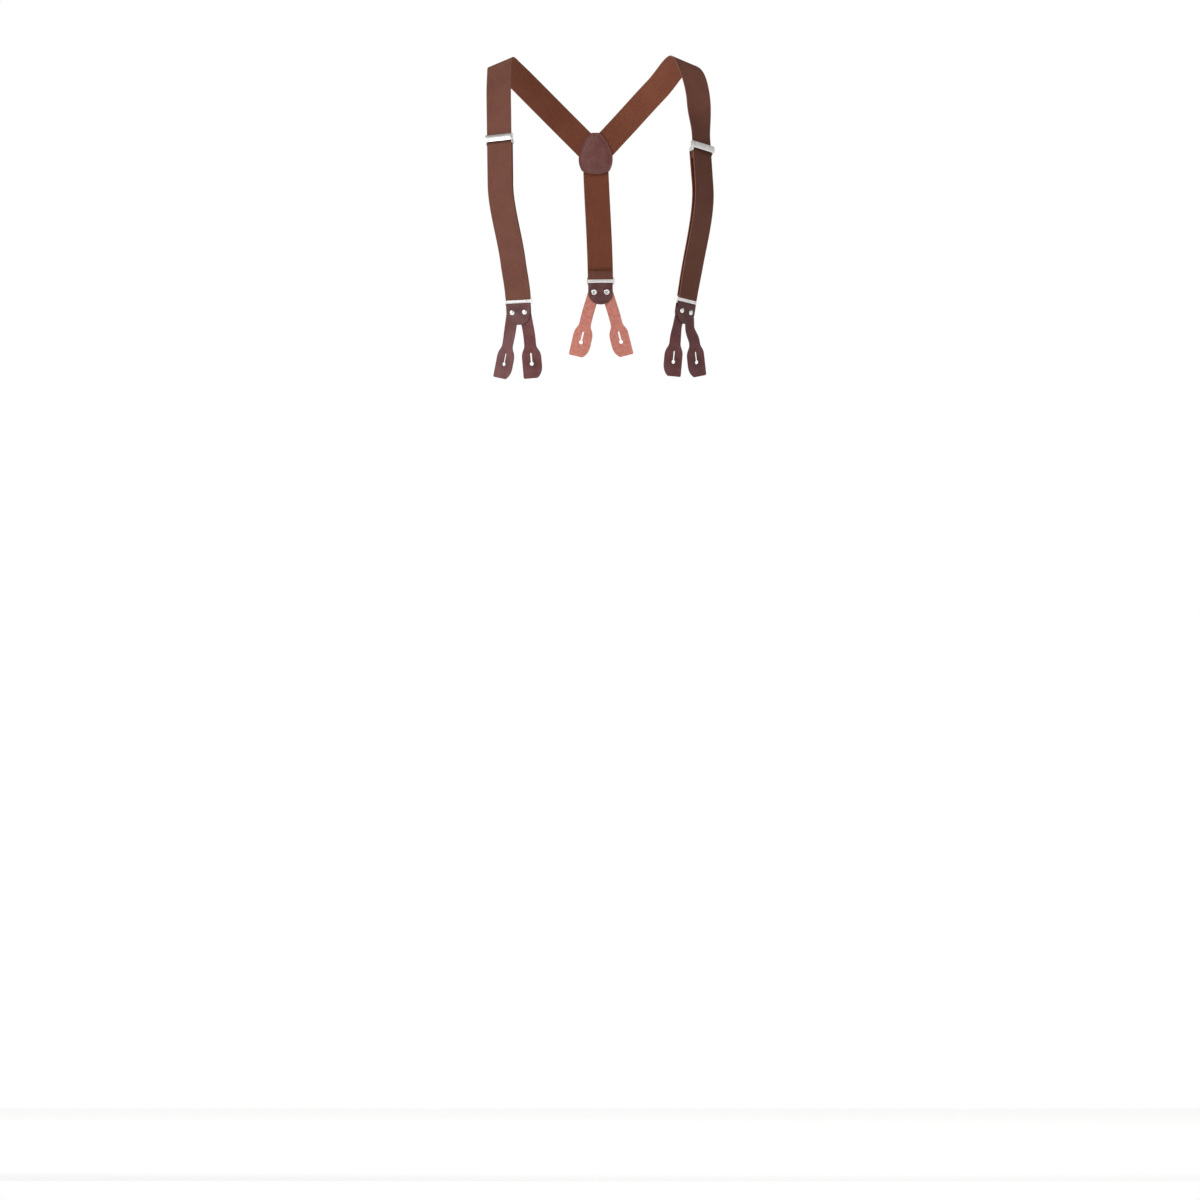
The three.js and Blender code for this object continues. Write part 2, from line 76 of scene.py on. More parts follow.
top = cad_box[1][2]
camera = bpy.data.objects.new("camera", bpy.data.cameras.new("camera"))
bpy.context.scene.collection.objects.link(camera)
camera.data.sensor_width = SENSOR
camera.data.lens = SENSOR * CAMERA_DISTANCE / VIEW_HEIGHT
camera.data.clip_end = 2 * CAMERA_DISTANCE
camera.location = (0, -CAMERA_DISTANCE, top + ABOVE_CRESTS - VIEW_HEIGHT / 2)
camera.rotation_euler = (math.pi / 2, 0, 0)
bpy.context.scene.camera = camera
bpy.context.scene.view_settings.view_transform = "Standard"


def softbox(name, place, width, height, power, colour):
    lamp = bpy.data.objects.new(name, bpy.data.lights.new(name, "AREA"))
    bpy.context.scene.collection.objects.link(lamp)
    lamp.data.shape = "RECTANGLE"
    lamp.data.size = width
    lamp.data.size_y = height
    lamp.data.energy = power
    lamp.data.color = colour
    lamp.location = place
    target = Vector((0, 0, -0.2))
    lamp.rotation_euler = (target - lamp.location).to_track_quat("-Z", "Y").to_euler()
    return lamp


softbox("key softbox", (-1.7, -1.7, 0.5), 1.3, 1.8, 34, (1.0, 0.98, 0.96))
softbox("overhead softbox", (-0.5, -1.5, 1.7), 2.2, 1.0, 22, (1.0, 0.99, 0.98)).visible_glossy = False
softbox("fill softbox", (2.3, -1.6, 0.1), 1.0, 1.6, 1.0, (0.97, 0.98, 1.0))

world = bpy.data.worlds.new("studio")
bpy.context.scene.world = world
world.use_nodes = True
studio = world.node_tree
towards = studio.nodes.new("ShaderNodeTexCoord")
parts = studio.nodes.new("ShaderNodeSeparateXYZ")
studio.links.new(towards.outputs["Generated"], parts.inputs[0])


def surroundings(colour, axis, low, high, at_low, at_high):
    """An even light that changes in strength between two heights, or between left and right."""
    shade = studio.nodes.new("ShaderNodeMapRange")
    studio.links.new(parts.outputs[axis], shade.inputs["Value"])
    for name, value in (("From Min", low), ("From Max", high), ("To Min", at_low), ("To Max", at_high)):
        shade.inputs[name].default_value = value
    light = studio.nodes.new("ShaderNodeBackground")
    light.inputs["Color"].default_value = colour
    studio.links.new(shade.outputs[0], light.inputs["Strength"])
    return light


def picked(ray, otherwise, when):
    rays = studio.nodes.new("ShaderNodeLightPath")
    chosen = studio.nodes.new("ShaderNodeMixShader")
    studio.links.new(rays.outputs[ray], chosen.inputs[0])
    studio.links.new(otherwise.outputs[0], chosen.inputs[1])
    studio.links.new(when.outputs[0], chosen.inputs[2])
    return chosen


walls = surroundings((1.0, 0.99, 0.98, 1), "X", -1, 1, 0.36, 0.1)
mirrored = surroundings((0.97, 0.97, 0.98, 1), "Z", 0.2, 0.7, 0.85, 0.3)
behind = studio.nodes["Background"]
behind.inputs["Color"].default_value = (1, 1, 1, 1)
shown = picked("Is Camera Ray", picked("Is Glossy Ray", walls, mirrored), behind)
studio.links.new(shown.outputs[0], studio.nodes["World Output"].inputs[0])


# ---- elastic webbing ----------------------------------------------------------
# The straps are 35 mm ribbed elastic webbing, woven in one width with a plain
# selvedge down each side. Each front strap runs from the back patch over the
# shoulder, through the adjuster and round the end loop's bar, and its end is
# turned round the adjuster's rear bar and sewn.
WEB_HALF = 17.5 * MM
WEB_THICK = 1.4 * MM
SELVEDGE = 3.3 * MM
RIBS = 18
RIB_DEPTH = 0.11 * MM


class Wire:
    """One socket of a material's nodes. Arithmetic on it adds Math nodes."""

    def __init__(self, tree, socket=None):
        self.tree, self.socket = tree, socket

    def node(self, kind, settings, sockets, output=0):
        """Adds a node, makes its settings, then sets or links its sockets."""
        made = self.tree.nodes.new("ShaderNode" + kind)
        for name, value in settings.items():
            if name == "stops":
                for place, colour in value:
                    stop = made.color_ramp.elements.new(place)
                    stop.color = colour
                made.color_ramp.elements.remove(made.color_ramp.elements[0])
                made.color_ramp.elements.remove(made.color_ramp.elements[-1])
            else:
                setattr(made, name, value)
        for name, value in sockets.items():
            if isinstance(value, Wire):
                self.tree.links.new(value.socket, made.inputs[name])
            else:
                made.inputs[name].default_value = value
        return Wire(self.tree, made.outputs[output] if made.outputs else None)

    def math(self, operation, first, second=0.0):
        return self.node("Math", {"operation": operation}, {0: first, 1: second})

    def step(self, low, high):
        """Rises smoothly from 0 at low to 1 at high."""
        limits = {"Value": self, "From Min": low, "From Max": high}
        return self.node("MapRange", {"interpolation_type": "SMOOTHSTEP"}, limits)

    def __add__(self, other):
        return self.math("ADD", self, other)

    def __radd__(self, other):
        return self.math("ADD", other, self)

    def __sub__(self, other):
        return self.math("SUBTRACT", self, other)

    def __rsub__(self, other):
        return self.math("SUBTRACT", other, self)

    def __mul__(self, other):
        return self.math("MULTIPLY", self, other)

    def __rmul__(self, other):
        return self.math("MULTIPLY", other, self)


def new_material(name):
    material = bpy.data.materials.new(name)
    material.use_nodes = True
    material.node_tree.nodes.clear()
    return material, Wire(material.node_tree)


def principled(start, sockets):
    shader = start.node("BsdfPrincipled", {}, sockets)
    start.node("OutputMaterial", {}, {"Surface": shader})


def blended(start, share, low, high):
    """A colour between two, as share goes from 0 to 1."""
    return start.node("Mix", {"data_type": "RGBA"}, {0: share, 6: low, 7: high}, output=2)


def noise(start, where, scale, detail=3.0, roughness=0.55):
    return start.node("TexNoise", {}, {
        "Vector": where, "Scale": scale, "Detail": detail, "Roughness": roughness,
    })


def drawn_at(start):
    """Where a point lies on the flat piece before it is bent."""
    return start.node("UVMap", {"uv_map": "flat"}, {})


def webbing_material(name, rib_colour, streak_and_furrow_shade_colour, worn_colour):
    material, start = new_material(name)
    flat = drawn_at(start)
    across = start.node("SeparateXYZ", {}, {0: flat}, output=0)
    along = start.node("SeparateXYZ", {}, {0: flat}, output=1)
    pitch = 2 * (WEB_HALF - SELVEDGE) / RIBS
    inward = WEB_HALF - start.math("ABSOLUTE", across)
    body = inward.step(SELVEDGE - 0.2 * MM, SELVEDGE + 0.2 * MM)
    rib = start.math("COSINE", across * (2 * math.pi / pitch)) * 0.5 + 0.5
    fine = start.math("COSINE", across * (2 * math.pi / (0.55 * MM))) * 0.5 + 0.5
    thread = body * rib + (1 - body) * fine
    row = start.math("SINE", along * (2 * math.pi / (0.85 * MM)) + rib * math.pi) * 0.5 + 0.5
    stretched = start.node("VectorMath", {"operation": "MULTIPLY"}, {0: flat, 1: (1.0, 0.06, 1.0)})
    streak = noise(start, stretched, 900.0, 2.0).step(0.3, 0.75)
    patchy = noise(start, flat, 28.0, 4.0).step(0.32, 0.7)
    lint = noise(start, flat, 2600.0, 2.0).step(0.5, 0.85)
    # painted shade: the colour darkens into the furrows between the ribs and between the weft rows, following
    # the relief; random streaks take the same dark colour
    colour = blended(start, thread * 0.75 + row * 0.25, streak_and_furrow_shade_colour, rib_colour)
    colour = blended(start, streak * 0.3, colour, streak_and_furrow_shade_colour)
    colour = blended(start, patchy * 0.16, colour, worn_colour)
    edge = (1 - inward.step(0.1 * MM, 1.0 * MM)) * 0.5
    colour = blended(start, edge + lint * 0.12, colour, worn_colour)
    height = thread * 0.35 + row * thread * 0.5 + lint * 0.25
    relief = start.node("Bump", {}, {"Strength": 0.55, "Distance": 0.00018, "Height": height})
    principled(start, {
        "Base Color": colour, "Roughness": 0.78 + 0.14 * patchy, "Normal": relief,
        "Sheen Weight": 0.08, "Sheen Roughness": 0.45, "Sheen Tint": (0.75, 0.5, 0.45, 1),
        "Specular IOR Level": 0.12,
    })
    return material


# the middle colour of each webbing is the painted shade in the furrows, also used for random streaks
webbing_face = webbing_material(
    "webbing face", (0.196, 0.082, 0.058, 1), (0.1, 0.036, 0.025, 1), (0.27, 0.13, 0.1, 1),
)
webbing_back = webbing_material(
    "webbing wearer's side", (0.212, 0.068, 0.037, 1), (0.12, 0.036, 0.02, 1), (0.28, 0.115, 0.07, 1),
)


class StrapRoute:
    """How a strap runs, from the end loop upwards. A station is a place in
    millimetres, the way the strap runs there and the way its width runs."""

    SAMPLES = 120

    def __init__(self, stations):
        self.spans = []
        self.length = 0.0
        marks = [(Vector(p) * MM, Vector(a).normalized(), Vector(w).normalized()) for p, a, w in stations]
        for (low, low_along, low_across), (high, high_along, high_across) in zip(marks, marks[1:]):
            reach = (high - low).length / 3
            hull = (low, low + low_along * reach, high - high_along * reach, high)
            places = []
            distances = [0.0]
            for i in range(self.SAMPLES + 1):
                places.append(self.bezier(hull, i / self.SAMPLES))
                if i:
                    distances.append(distances[-1] + (places[-1][0] - places[-2][0]).length)
            self.spans.append((self.length, distances, places, low_across, high_across))
            self.length += distances[-1]

    @staticmethod
    def bezier(hull, t):
        a, b, c, d = hull
        s = 1 - t
        place = a * s**3 + b * (3 * s * s * t) + c * (3 * s * t * t) + d * t**3
        slope = (b - a) * (s * s) + (c - b) * (2 * s * t) + (d - c) * (t * t)
        return place, slope.normalized()

    def at(self, distance):
        """The middle of the strap at a distance, and the three ways along, across and out."""
        start, distances, places, low_across, high_across = next(
            (s for s in self.spans if distance <= s[0] + s[1][-1]), self.spans[-1],
        )
        share = min(max((distance - start) / distances[-1], 0.0), 1.0)
        reached = share * distances[-1]
        after = next((i for i in range(1, len(distances)) if distances[i] >= reached), self.SAMPLES)
        gap = distances[after] - distances[after - 1]
        part = (reached - distances[after - 1]) / gap
        middle = places[after - 1][0].lerp(places[after][0], part)
        along = places[after - 1][1].lerp(places[after][1], part).normalized()
        across = low_across.lerp(high_across, share * share * (3 - 2 * share))
        across /= across.cross(along).length
        out = across.cross(along).normalized()
        return middle + along * (distance - start - reached), along, across, out

    def nearest(self, point):
        steps = [i * MM / 4 for i in range(int(self.length / MM * 4))]
        return min(steps, key=lambda distance: (self.at(distance)[0] - point).length)


def new_piece(name, points, faces, materials, flat_points=None, face_materials=None):
    """A mesh object. flat_points says where each corner of each face lies before bending."""
    mesh = bpy.data.meshes.new(name)
    mesh.from_pydata(points, [], faces)
    if flat_points:
        layer = mesh.uv_layers.new(name="flat")
        for corner, (u, v) in zip(layer.data, flat_points):
            corner.uv = (u, v)
    for material in materials:
        mesh.materials.append(material)
    if face_materials:
        mesh.polygons.foreach_set("material_index", face_materials)
    mesh.shade_smooth()
    piece = bpy.data.objects.new(name, mesh)
    bpy.context.scene.collection.objects.link(piece)
    return piece


def webbing_section():
    """Half of the section: places across the webbing, and its half thickness there."""
    half = WEB_THICK / 2
    body = WEB_HALF - SELVEDGE
    pitch = 2 * body / RIBS
    round_off = 0.6 * MM
    points = []
    for across in (WEB_HALF - 0.07 * MM, WEB_HALF - 0.22 * MM, WEB_HALF - round_off, WEB_HALF - 1.6 * MM,
                   body + 0.9 * MM, body + 0.35 * MM):
        inside = max(0.0, (across - (WEB_HALF - round_off)) / round_off)
        points.append((-across, half * math.sqrt(1 - inside * inside)))
    points.append((-body, half - 1.6 * RIB_DEPTH))
    for i in range(1, 4 * RIBS):
        across = -body + i * pitch / 4
        points.append((across, half - RIB_DEPTH * (1 + math.cos(2 * math.pi * i / 4)) / 2))
    return points + [(-across, height) for across, height in reversed(points[:7])]


def weave(name, route, path, run_start=0.0):
    """Webbing along a path of (along, out) points beside a route."""
    section = webbing_section()
    ring = [(-WEB_HALF, 0.0)] + section + [(WEB_HALF, 0.0)] + [(a, -h) for a, h in reversed(section)]
    count = len(ring)
    run = run_start
    points, flat_rows = [], []
    for i, (along, out) in enumerate(path):
        before = path[max(i - 1, 0)]
        after = path[min(i + 1, len(path) - 1)]
        ahead = Vector((after[0] - before[0], after[1] - before[1])).normalized()
        if i:
            run += math.dist(path[i], path[i - 1])
        for across, height in ring:
            middle, _, width, outward = route.at(along + height * ahead.y)
            points.append(middle + width * across + outward * (out - height * ahead.x))
        flat_rows.append(run)
    faces, flat_points, sides = [], [], []
    for i in range(len(path) - 1):
        for j in range(count):
            k = (j + 1) % count
            faces.append((i * count + j, i * count + k, (i + 1) * count + k, (i + 1) * count + j))
            flat_points += [(ring[j][0], flat_rows[i]), (ring[k][0], flat_rows[i]),
                            (ring[k][0], flat_rows[i + 1]), (ring[j][0], flat_rows[i + 1])]
            sides.append(0 if j <= count // 2 - 1 else 1)
    for row, order in ((0, -1), (len(path) - 1, 1)):
        end = [row * count + j for j in range(count)][::order]
        faces.append(tuple(end))
        flat_points += [(ring[j % count][0], flat_rows[row]) for j in end]
        sides.append(0)
    return new_piece(name, points, faces, [webbing_face, webbing_back], flat_points, sides)


def straight(low, high, out, step=2.5 * MM):
    count = max(1, round(abs(high - low) / step))
    return [(low + (high - low) * i / count, out(low + (high - low) * i / count)) for i in range(count + 1)]


def half_turn(centre_along, centre_out, radius, upwards, count=14):
    """Points of a half turn, from its outer side to its wearer's side below a bar, or back above one."""
    points = []
    for i in range(1, count):
        angle = math.pi * i / count
        side = radius * math.sin(angle) * (1 if upwards else -1)
        depth = radius * math.cos(angle) * (-1 if upwards else 1)
        points.append((centre_along + side, centre_out + depth))
    return points


def smooth(value, low, high):
    share = min(max((value - low) / (high - low), 0.0), 1.0)
    return share * share * (3 - 2 * share)


# how much the chest slopes back per unit of height, where the rear straps lie and
# where the patch sits off the middle, then each strap's stations from its loop up
CHEST = 0.4
BACK_PLANE = 88
PATCH_X = -6
FRONT_ROUTES = {
    "left": StrapRoute([
        [(-113.3, -98, -335), (-0.05, 0, 1), (0.978, -0.208, 0.049)],
        [(-120, -101, -286), (-0.13, 0.02, 1), (0.978, -0.208, 0.01)],
        [(-138, -97, -176), (-0.014, CHEST, 1), (0.968, -0.235, 0.1)],
        [(-139.6, -51.4, -62), (-0.014, CHEST, 1), (0.968, -0.235, 0.1)],
        [(-138.8, -10.5, -15.5), (0.03, 0.7, 0.71), (0.92, 0, 0.38)],
        [(-137, 0, -9), (0.36, 0.93, 0.1), (0.92, 0, 0.39)],
        [(-129.5, 12, -13.5), (0.5, 0.72, -0.48), (0.9, 0, 0.42)],
        [(-95, 56, -47.7), (0.64, 0.5, -0.64), (0.75, 0, 0.66)],
        [(-38, BACK_PLANE, -104.7), (0.7, 0, -0.7), (0.707, 0, 0.707)],
        [(PATCH_X - 0.15, BACK_PLANE, -136.6), (0.7, 0, -0.7), (0, 0, 1)],
    ]),
    "right": StrapRoute([
        [(121.3, -91, -334), (0.15, 0.08, 0.985), (0.69, 0.71, -0.162)],
        [(128.8, -92, -290), (0.18, 0, 0.985), (0.74, 0.67, -0.12)],
        [(143.6, -91, -178), (-0.067, CHEST, 1), (0.72, 0.66, -0.216)],
        [(139.2, -64.6, -112), (-0.067, CHEST, 1), (0.72, 0.66, -0.216)],
        [(136, -45.4, -64), (-0.067, CHEST, 1), (0.93, 0.33, -0.07)],
        [(116, 0, -7.5), (-0.37, 0.92, 0.16), (0.92, 0, -0.39)],
        [(78, 56, -45.5), (-0.6, 0.52, -0.62), (0.76, 0, -0.64)],
        [(26, BACK_PLANE, -101.7), (-0.681, 0, -0.732), (0.732, 0, -0.681)],
        [(PATCH_X + 0.15, BACK_PLANE, -136.1), (-0.681, 0, -0.732), (0, 0, -1)],
    ]),
}
BACK_LAYER = BACK_PLANE + 1.7
BACK_ROUTE = StrapRoute([
    [(0.5, 90, -305.5), (-0.01, 0, 1), (-1, 0, -0.01)],
    [(PATCH_X + 0.6, BACK_LAYER, -165), (-0.04, 0, 1), (-1, 0, 0)],
    [(PATCH_X, BACK_LAYER, -122), (0, 0, 1), (-1, 0, 0)],
])
FOLD_RADIUS = 2.0 * MM
TAIL = 12.5 * MM
BACK_TAIL = 9.5 * MM
LEVER_PIN = (4.4, 3.2)
REAR_BAR = (-5.5 * MM, -4.9 * MM)
REAR_TURN = 1.95 * MM


def strap_axes(across_joint, along_axis):
    """A frame with its ways across, along and out of the strap as its columns."""
    across = Vector(across_joint["axis"])
    out = across.cross(along_axis).normalized()
    axes = Matrix((across, along_axis, out)).transposed().to_4x4()
    axes.translation = Vector(across_joint["pos_m"])
    return axes


adjuster_axes = {}
for side, route in FRONT_ROUTES.items():
    hinge = dict(joints["lever_hinge_" + side])
    hinge["axis"] = [-part for part in hinge["axis"]]
    axes = strap_axes(hinge, Vector(joints["adjuster_slide_" + side]["axis"]))
    axes = axes @ Matrix.Translation((0, -LEVER_PIN[0] * MM, -LEVER_PIN[1] * MM))
    adjuster_axes[side] = axes
    adjuster_at = route.nearest(axes.translation)
    turn = adjuster_at + REAR_BAR[0]

    def return_out(along):
        return -2 * FOLD_RADIUS + smooth(along, 0.035, turn) * (REAR_BAR[1] - REAR_TURN + 2 * FOLD_RADIUS)

    upper = straight(route.length, adjuster_at, lambda along: 0.0)
    shoulder_run = weave(f"shoulder_webbing_{side}", route, upper, -(route.length - adjuster_at))
    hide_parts(f"strap_{side}")
    lower = straight(adjuster_at - 0.01 * MM, 0, lambda along: 0.0)
    lower += half_turn(0, -FOLD_RADIUS, FOLD_RADIUS, upwards=False)
    lower += straight(0, turn, return_out)
    lower += half_turn(turn, REAR_BAR[1], REAR_TURN, upwards=True)
    lower += straight(turn, turn - TAIL, lambda along: REAR_BAR[1] + REAR_TURN)
    loop_run = weave(f"loop_webbing_{side}", route, lower)
    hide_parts(f"strap_bight_{side}", f"strap_return_{side}")
    shoulder = route.at(adjuster_at + 0.085)[0]
    plate_edge = route.at(adjuster_at + 0.008)[0]
    below_bar = route.at(adjuster_at - 0.022)[0]
    above_loop = route.at(0.012)[0]
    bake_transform(shoulder_run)
    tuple(shoulder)
    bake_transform(loop_run)
    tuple(below_bar)
    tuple(above_loop)

back_path = straight(BACK_ROUTE.length, 0, lambda along: 0.0)
back_path += half_turn(0, -FOLD_RADIUS, FOLD_RADIUS, upwards=False)
back_path += straight(0, BACK_TAIL, lambda along: -2 * FOLD_RADIUS)
back_run = weave("back_webbing", BACK_ROUTE, back_path)
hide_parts("strap_back")
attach(back_run, "harness")


# ---- sewing thread --------------------------------------------------------------
# Brown polyester thread holds each turned-up end of webbing. A lockstitch shows
# as a row of short rounded stitches, pulled down a little at both ends.
THREAD_RADIUS = 0.27 * MM
STITCH_LENGTH = 2.5 * MM
STITCH_STEP = 3.0 * MM


def thread_material():
    material, start = new_material("sewing thread")
    where = start.node("TexCoord", {}, {}, output=3)
    uneven = noise(start, where, 2500.0, 2.0)
    relief = start.node("Bump", {}, {"Strength": 0.4, "Distance": 0.0001, "Height": uneven})
    colour = blended(start, uneven, (0.07, 0.025, 0.018, 1), (0.16, 0.065, 0.045, 1))
    principled(start, {
        "Base Color": colour, "Roughness": 0.6, "Normal": relief, "Sheen Weight": 0.3,
    })
    return material


thread = thread_material()


def sew(name, stitches):
    """Stitches, each given by its two ends and the way out of the cloth."""
    sides, rings = 6, 6
    points, faces = [], []
    for first, last, out in stitches:
        ahead = (last - first).normalized()
        beside = ahead.cross(out).normalized()
        base = len(points)
        for i in range(rings):
            share = i / (rings - 1)
            arch = math.sin(math.pi * share)
            radius = THREAD_RADIUS * (0.45 + 0.55 * arch**0.5)
            middle = first.lerp(last, share) + out * (THREAD_RADIUS * (1.1 * arch - 0.55))
            for j in range(sides):
                angle = 2 * math.pi * j / sides
                points.append(middle + beside * (radius * math.cos(angle)) + out * (radius * math.sin(angle)))
        for i in range(rings - 1):
            for j in range(sides):
                k = (j + 1) % sides
                low = base + i * sides
                faces.append((low + j, low + k, low + sides + k, low + sides + j))
        faces.append(tuple(base + j for j in reversed(range(sides))))
        faces.append(tuple(base + (rings - 1) * sides + j for j in range(sides)))
    return new_piece(name, points, faces, [thread])


def row_across(route, along, out, facing):
    """Stitches across the webbing, at a height off the route; facing is 1 outwards or -1 inwards."""
    middle, _, across, outward = route.at(along)
    count = int((2 * WEB_HALF - 5 * MM) / STITCH_STEP)
    made = []
    for i in range(count):
        centre = middle + outward * out + across * ((i - (count - 1) / 2) * STITCH_STEP)
        half = across * (STITCH_LENGTH / 2)
        made.append((centre - half, centre + half, outward * facing))
    return made


for side, route in FRONT_ROUTES.items():
    turn = route.nearest(adjuster_axes[side].translation) + REAR_BAR[0]
    tail_face = REAR_BAR[1] + REAR_TURN + WEB_THICK / 2
    rear_face = REAR_BAR[1] - REAR_TURN - WEB_THICK / 2
    rows = row_across(route, turn - 9 * MM, tail_face, 1)
    rows += row_across(route, turn - 9 * MM, rear_face, -1)
    tail_thread = sew(f"adjuster_thread_{side}", rows)
    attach(tail_thread, f"adjuster_{side}")

hem_thread = sew("back_hem_thread", row_across(BACK_ROUTE, 7 * MM, -2 * FOLD_RADIUS - WEB_THICK / 2, -1)
                 + row_across(BACK_ROUTE, 7 * MM, WEB_THICK / 2, 1))
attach(hem_thread, "harness")


# ---- back patch -------------------------------------------------------------------
# Two pieces of fine-grained leather, cut to the same rounded outline, clamp the
# three straps where they meet. They are pressed to a low dome with a creased
# border, and sewn through along that crease with the same thread.
PATCH_TOP = -105 * MM
PATCH_HALF_TOP = 5.3
PATCH_WIDEST = 23.6
PATCH_FOOT = 18.9
PATCH_HEIGHT = 58
PATCH_THICK = 1.8 * MM
DOME = 2.3 * MM
CREASE_INSET = 2.6 * MM
CREASE_DEPTH = 0.5 * MM
EDGE_DROP = 0.35 * MM
EDGE_REACH = 2.5 * MM


def arc(centre, radius, start, end, count):
    """Points of an arc, its angles in degrees, in the units of the centre."""
    angles = [math.radians(start + (end - start) * i / count) for i in range(count + 1)]
    return [(centre[0] + radius * math.cos(a), centre[1] + radius * math.sin(a)) for a in angles]


def bend(hull, count):
    """Points of a Bezier curve of any degree after its first point."""
    points = []
    for i in range(1, count + 1):
        level = [Vector(point) for point in hull]
        while len(level) > 1:
            level = [a.lerp(b, i / count) for a, b in zip(level, level[1:])]
        points.append(tuple(level[0]))
    return points


def cut_out(outline, holes, thickness, edge, cuts_across=(), cuts_along=(), rounding=2):
    """A flat piece with rounded edges, as a bmesh in metres with its middle plane at 0.
    Outlines are in millimetres. It is cut into cells at the given lines, so that it can bend."""
    drawing = bpy.data.curves.new("outline", "CURVE")
    drawing.dimensions = "2D"
    drawing.fill_mode = "BOTH"
    drawing.extrude = thickness / 2 - edge
    drawing.bevel_depth = edge
    drawing.bevel_resolution = rounding
    drawing.offset = -edge
    for line in (outline, *holes):
        spline = drawing.splines.new("POLY")
        spline.points.add(len(line) - 1)
        for point, (x, y) in zip(spline.points, line):
            point.co = (x * MM, y * MM, 0, 1)
        spline.use_cyclic_u = True
    holder = bpy.data.objects.new("outline", drawing)
    shape = bmesh.new()
    flat = holder.to_mesh()
    shape.from_mesh(flat)
    bpy.data.objects.remove(holder)
    bpy.data.curves.remove(drawing)
    bmesh.ops.remove_doubles(shape, verts=shape.verts, dist=1e-6)
    for cuts, normal in ((cuts_across, (1, 0, 0)), (cuts_along, (0, 1, 0))):
        for cut in cuts:
            place = Vector(normal) * cut
            geometry = shape.verts[:] + shape.edges[:] + shape.faces[:]
            bmesh.ops.bisect_plane(shape, geom=geometry, dist=1e-6, plane_co=place, plane_no=normal)
    bmesh.ops.recalc_face_normals(shape, faces=shape.faces)
    return shape


def spaced(low, high, step):
    count = max(1, round((high - low) / step))
    return [low + (high - low) * i / count for i in range(1, count)]


def finished(name, shape, materials, place, which_material=None):
    """Turns a bmesh into a piece: place maps each flat point to where it ends up."""
    layer = shape.loops.layers.uv.new("flat")
    for face in shape.faces:
        for corner in face.loops:
            corner[layer].uv = corner.vert.co.xy
        if which_material:
            face.material_index = which_material(face)
        face.smooth = True
    for vertex in shape.verts:
        vertex.co = place(vertex.co.copy())
    bmesh.ops.recalc_face_normals(shape, faces=shape.faces)
    mesh = bpy.data.meshes.new(name)
    shape.to_mesh(mesh)
    shape.free()
    for material in materials:
        mesh.materials.append(material)
    piece = bpy.data.objects.new(name, mesh)
    bpy.context.scene.collection.objects.link(piece)
    even = piece.modifiers.new("even shading", "WEIGHTED_NORMAL")
    even.keep_sharp = True
    return piece


def patch_outline():
    top, wide, foot, height = PATCH_HALF_TOP, PATCH_WIDEST, PATCH_FOOT, PATCH_HEIGHT
    side = bend([(-top, 0), (-top - 8, -6), (-wide, -24), (-wide, -36)], 14)
    side += bend([(-wide, -36), (-wide, -46), (-foot, -height + 5)], 8)
    base = bend([(-foot, -height + 5), (0, -height - 3.4), (foot, -height + 5)], 14)
    other = [(-x, y) for x, y in reversed(side)]
    return [(-top, 0)] + side + base + other[1:] + [(top, 0)]


def inset_from(outline, point):
    """How far a point in metres lies inside an outline in millimetres."""
    nearest = 1.0
    for first, last in zip(outline, outline[1:] + outline[:1]):
        a, b = Vector(first) * MM, Vector(last) * MM
        share = min(max((point - a).dot(b - a) / (b - a).length_squared, 0.0), 1.0)
        nearest = min(nearest, (point - a.lerp(b, share)).length)
    return nearest


def stepped_along(outline, inset, step):
    """Evenly spaced points on a closed line drawn inside an outline, all in millimetres."""
    middle = sum((Vector(point) for point in outline), Vector((0, 0))) / len(outline)
    inner = []
    for before, here, after in zip(outline[-1:] + outline[:-1], outline, outline[1:] + outline[:1]):
        run = (Vector(after) - Vector(before)).normalized()
        aside = Vector((-run.y, run.x))
        aside *= math.copysign(inset, aside.dot(middle - Vector(here)))
        inner.append(Vector(here) + aside)
    inner.append(inner[0])
    length = sum((b - a).length for a, b in zip(inner, inner[1:]))
    count = round(length / step)
    points, reached, target = [], 0.0, 0.0
    for a, b in zip(inner, inner[1:]):
        while reached + (b - a).length >= target - 1e-6 and len(points) <= count:
            points.append(tuple(a.lerp(b, min((target - reached) / (b - a).length, 1.0))))
            target += length / count
        reached += (b - a).length
    return points


def leather_material(name, colour, highlight, pit_shade, grain, pebbled, roughness):
    """Leather with a printed pebble grain, or a smooth one, with painted shade in the grain's pits and a
    painted highlight on its raised creases.
    """
    material, start = new_material(name)
    where = start.node("TexCoord", {}, {}, output=3)
    cells = start.node("TexVoronoi", {"feature": "SMOOTH_F1"}, {"Vector": where, "Scale": grain})
    pits = start.node("TexVoronoi", {"feature": "DISTANCE_TO_EDGE"}, {"Vector": where, "Scale": grain * 0.8})
    creased = noise(start, where, grain * 1.7, 5.0, 0.65)
    cloudy = noise(start, where, 95.0, 4.0)
    pebble = (1 - cells) * 0.6 + pits.step(0.0, 0.25) * 0.4
    height = pebble * pebbled + creased * (1.1 - pebbled)
    tone = blended(start, cloudy.step(0.3, 0.72), colour, highlight)
    # painted shade: darker in the pits between the pebbles
    tone = blended(start, (1 - pebble) * pebbled * 0.7, tone, pit_shade)
    # painted highlight: lighter on the raised creases
    tone = blended(start, creased.step(0.55, 0.85) * 0.25, tone, highlight)
    relief = start.node("Bump", {}, {
        "Strength": 0.25 + 0.5 * pebbled, "Distance": 0.00022, "Height": height,
    })
    principled(start, {
        "Base Color": tone, "Roughness": roughness + 0.16 * cloudy, "Normal": relief,
        "Specular IOR Level": 0.3, "Coat Weight": 0.05, "Coat Roughness": 0.3,
    })
    return material
